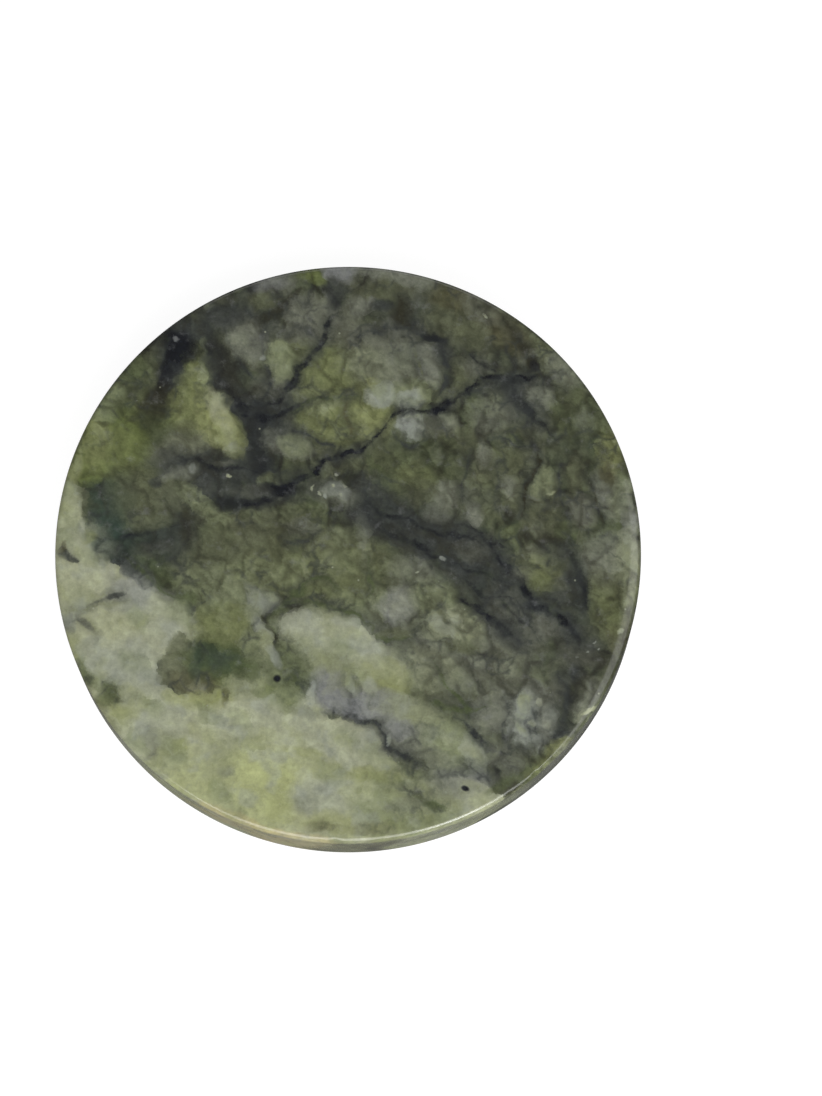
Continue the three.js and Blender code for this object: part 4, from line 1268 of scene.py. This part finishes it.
def polished_jade():
    """The stone's material: mottled jade with a hand polish, a little light getting into it.

    The plan of markings is parted into regions, each with a shader that has only the markings
    near it. They join without a seam, and a render is much quicker than with all of them.
    """
    material = bpy.data.materials.new("polished_jade")
    material.use_nodes = True
    tree = material.node_tree
    tree.nodes.clear()
    mm = Field(tree).node("ShaderNodeTexCoord", {}, {}, "Object") * (1 / MM)
    fields = shared_fields(mm)
    group = marking_group()
    smear = mm.noise(5.0, 3.0, 0.6).ease(0.3, 0.7, *ROUGHNESS)

    def polished(region):
        sockets = {
            "Base Color": region_colour(fields, region, group),
            "Roughness": smear,
            "IOR": 1.55,
            "Subsurface Weight": 0.12,
            "Subsurface Radius": (1.0, 1.0, 0.7),
            "Subsurface Scale": LIGHT_DEPTH,
        }
        return mm.node("ShaderNodeBsdfPrincipled", {}, sockets, "BSDF")

    across, up = fields["plan"].axis("X"), fields["plan"].axis("Y")
    shader = in_strips(across, lambda *x: in_strips(up, lambda *y: polished((*x, *y))))
    output = tree.nodes.new("ShaderNodeOutputMaterial")
    tree.links.new(shader.socket, output.inputs["Surface"])
    return material


# THE STAGE


# Half the floor's width in metres, and its glow, which makes it as pale as in the photograph
FLOOR_HALF = 3.0
FLOOR_GLOW = 0.93


def pale_floor():
    """A wide plain floor under the stone. Its glow would bleach the wall, so it isn't mirrored."""
    half = FLOOR_HALF
    mesh = bpy.data.meshes.new("floor")
    corners = [(-half, -half, 0), (half, -half, 0), (half, half, 0), (-half, half, 0)]
    mesh.from_pydata(corners, [], [(0, 1, 2, 3)])
    material = bpy.data.materials.new("pale_floor")
    material.use_nodes = True
    shader = material.node_tree.nodes["Principled BSDF"]
    shader.inputs["Base Color"].default_value = (0.15, 0.15, 0.15, 1.0)
    shader.inputs["Roughness"].default_value = 0.9
    shader.inputs["Specular IOR Level"].default_value = 0.1
    shader.inputs["Emission Color"].default_value = (1, 1, 1, 1)
    shader.inputs["Emission Strength"].default_value = FLOOR_GLOW
    mesh.materials.append(material)
    floor = bpy.data.objects.new("floor", mesh)
    floor.visible_glossy = False
    bpy.context.scene.collection.objects.link(floor)


def soft_box(name, towards, distance, size, brightness):
    """A rectangular studio light, facing the stone.

    towards is its azimuth, counter-clockwise from +X, and its lean from straight up, in degrees.
    """
    azimuth, lean = [math.radians(a) for a in towards]
    light = bpy.data.lights.new(name, "AREA")
    light.shape = "RECTANGLE"
    light.size, light.size_y = size
    light.energy = brightness * math.pi * size[0] * size[1]
    lamp = bpy.data.objects.new(name, light)
    out = math.sin(lean)
    way = Vector((math.cos(azimuth) * out, math.sin(azimuth) * out, math.cos(lean)))
    lamp.location = way * distance
    lamp.rotation_mode = "QUATERNION"
    lamp.rotation_quaternion = (-way).to_track_quat("-Z", "Y")
    lamp.visible_camera = False
    bpy.context.scene.collection.objects.link(lamp)


def dim_surround():
    """The room round the stage: even and dim."""
    world = bpy.data.worlds.new("surround")
    world.use_nodes = True
    back = world.node_tree.nodes["Background"]
    back.inputs["Color"].default_value = (1, 1, 1, 1)
    back.inputs["Strength"].default_value = 0.12
    bpy.context.scene.world = world


def photo_camera():
    """The camera, at the photograph's angle and distance, with the stone where it lies there."""
    data = bpy.data.cameras.new("camera")
    data.sensor_width = SENSOR
    data.lens = PICTURE["focal"] * SENSOR / PICTURE["height"]
    data.clip_start = 0.01
    camera = bpy.data.objects.new("camera", data)
    lean = math.radians(CAMERA["lean"])
    back = Vector((0, -math.sin(lean), math.cos(lean)))
    up = Vector((0, math.cos(lean), math.sin(lean)))
    aim = Vector((CAMERA["right"], 0, THICKNESS / 2)) + up * CAMERA["up"]
    camera.location = (aim + back * CAMERA["distance"]) * MM
    camera.rotation_mode = "QUATERNION"
    camera.rotation_quaternion = (-back).to_track_quat("-Z", "Y")
    bpy.context.scene.collection.objects.link(camera)
    bpy.context.scene.camera = camera


photo_camera()
pale_floor()
dim_surround()
soft_box("front_box", (-84, 38), 0.8, (0.85, 0.6), 4.0)
soft_box("front_strip", (-64, 42), 0.8, (0.12, 0.3), 10.0)
soft_box("right_box", (-5, 45), 0.8, (0.5, 0.6), 1.6)
soft_box("back_box", (90, 72), 0.9, (0.8, 0.5), 1.0)
bpy.context.scene.view_settings.view_transform = "Standard"

stone = polished_stone()
stone.data.materials.append(polished_jade())
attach(stone, "root")
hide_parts("jade_stone")
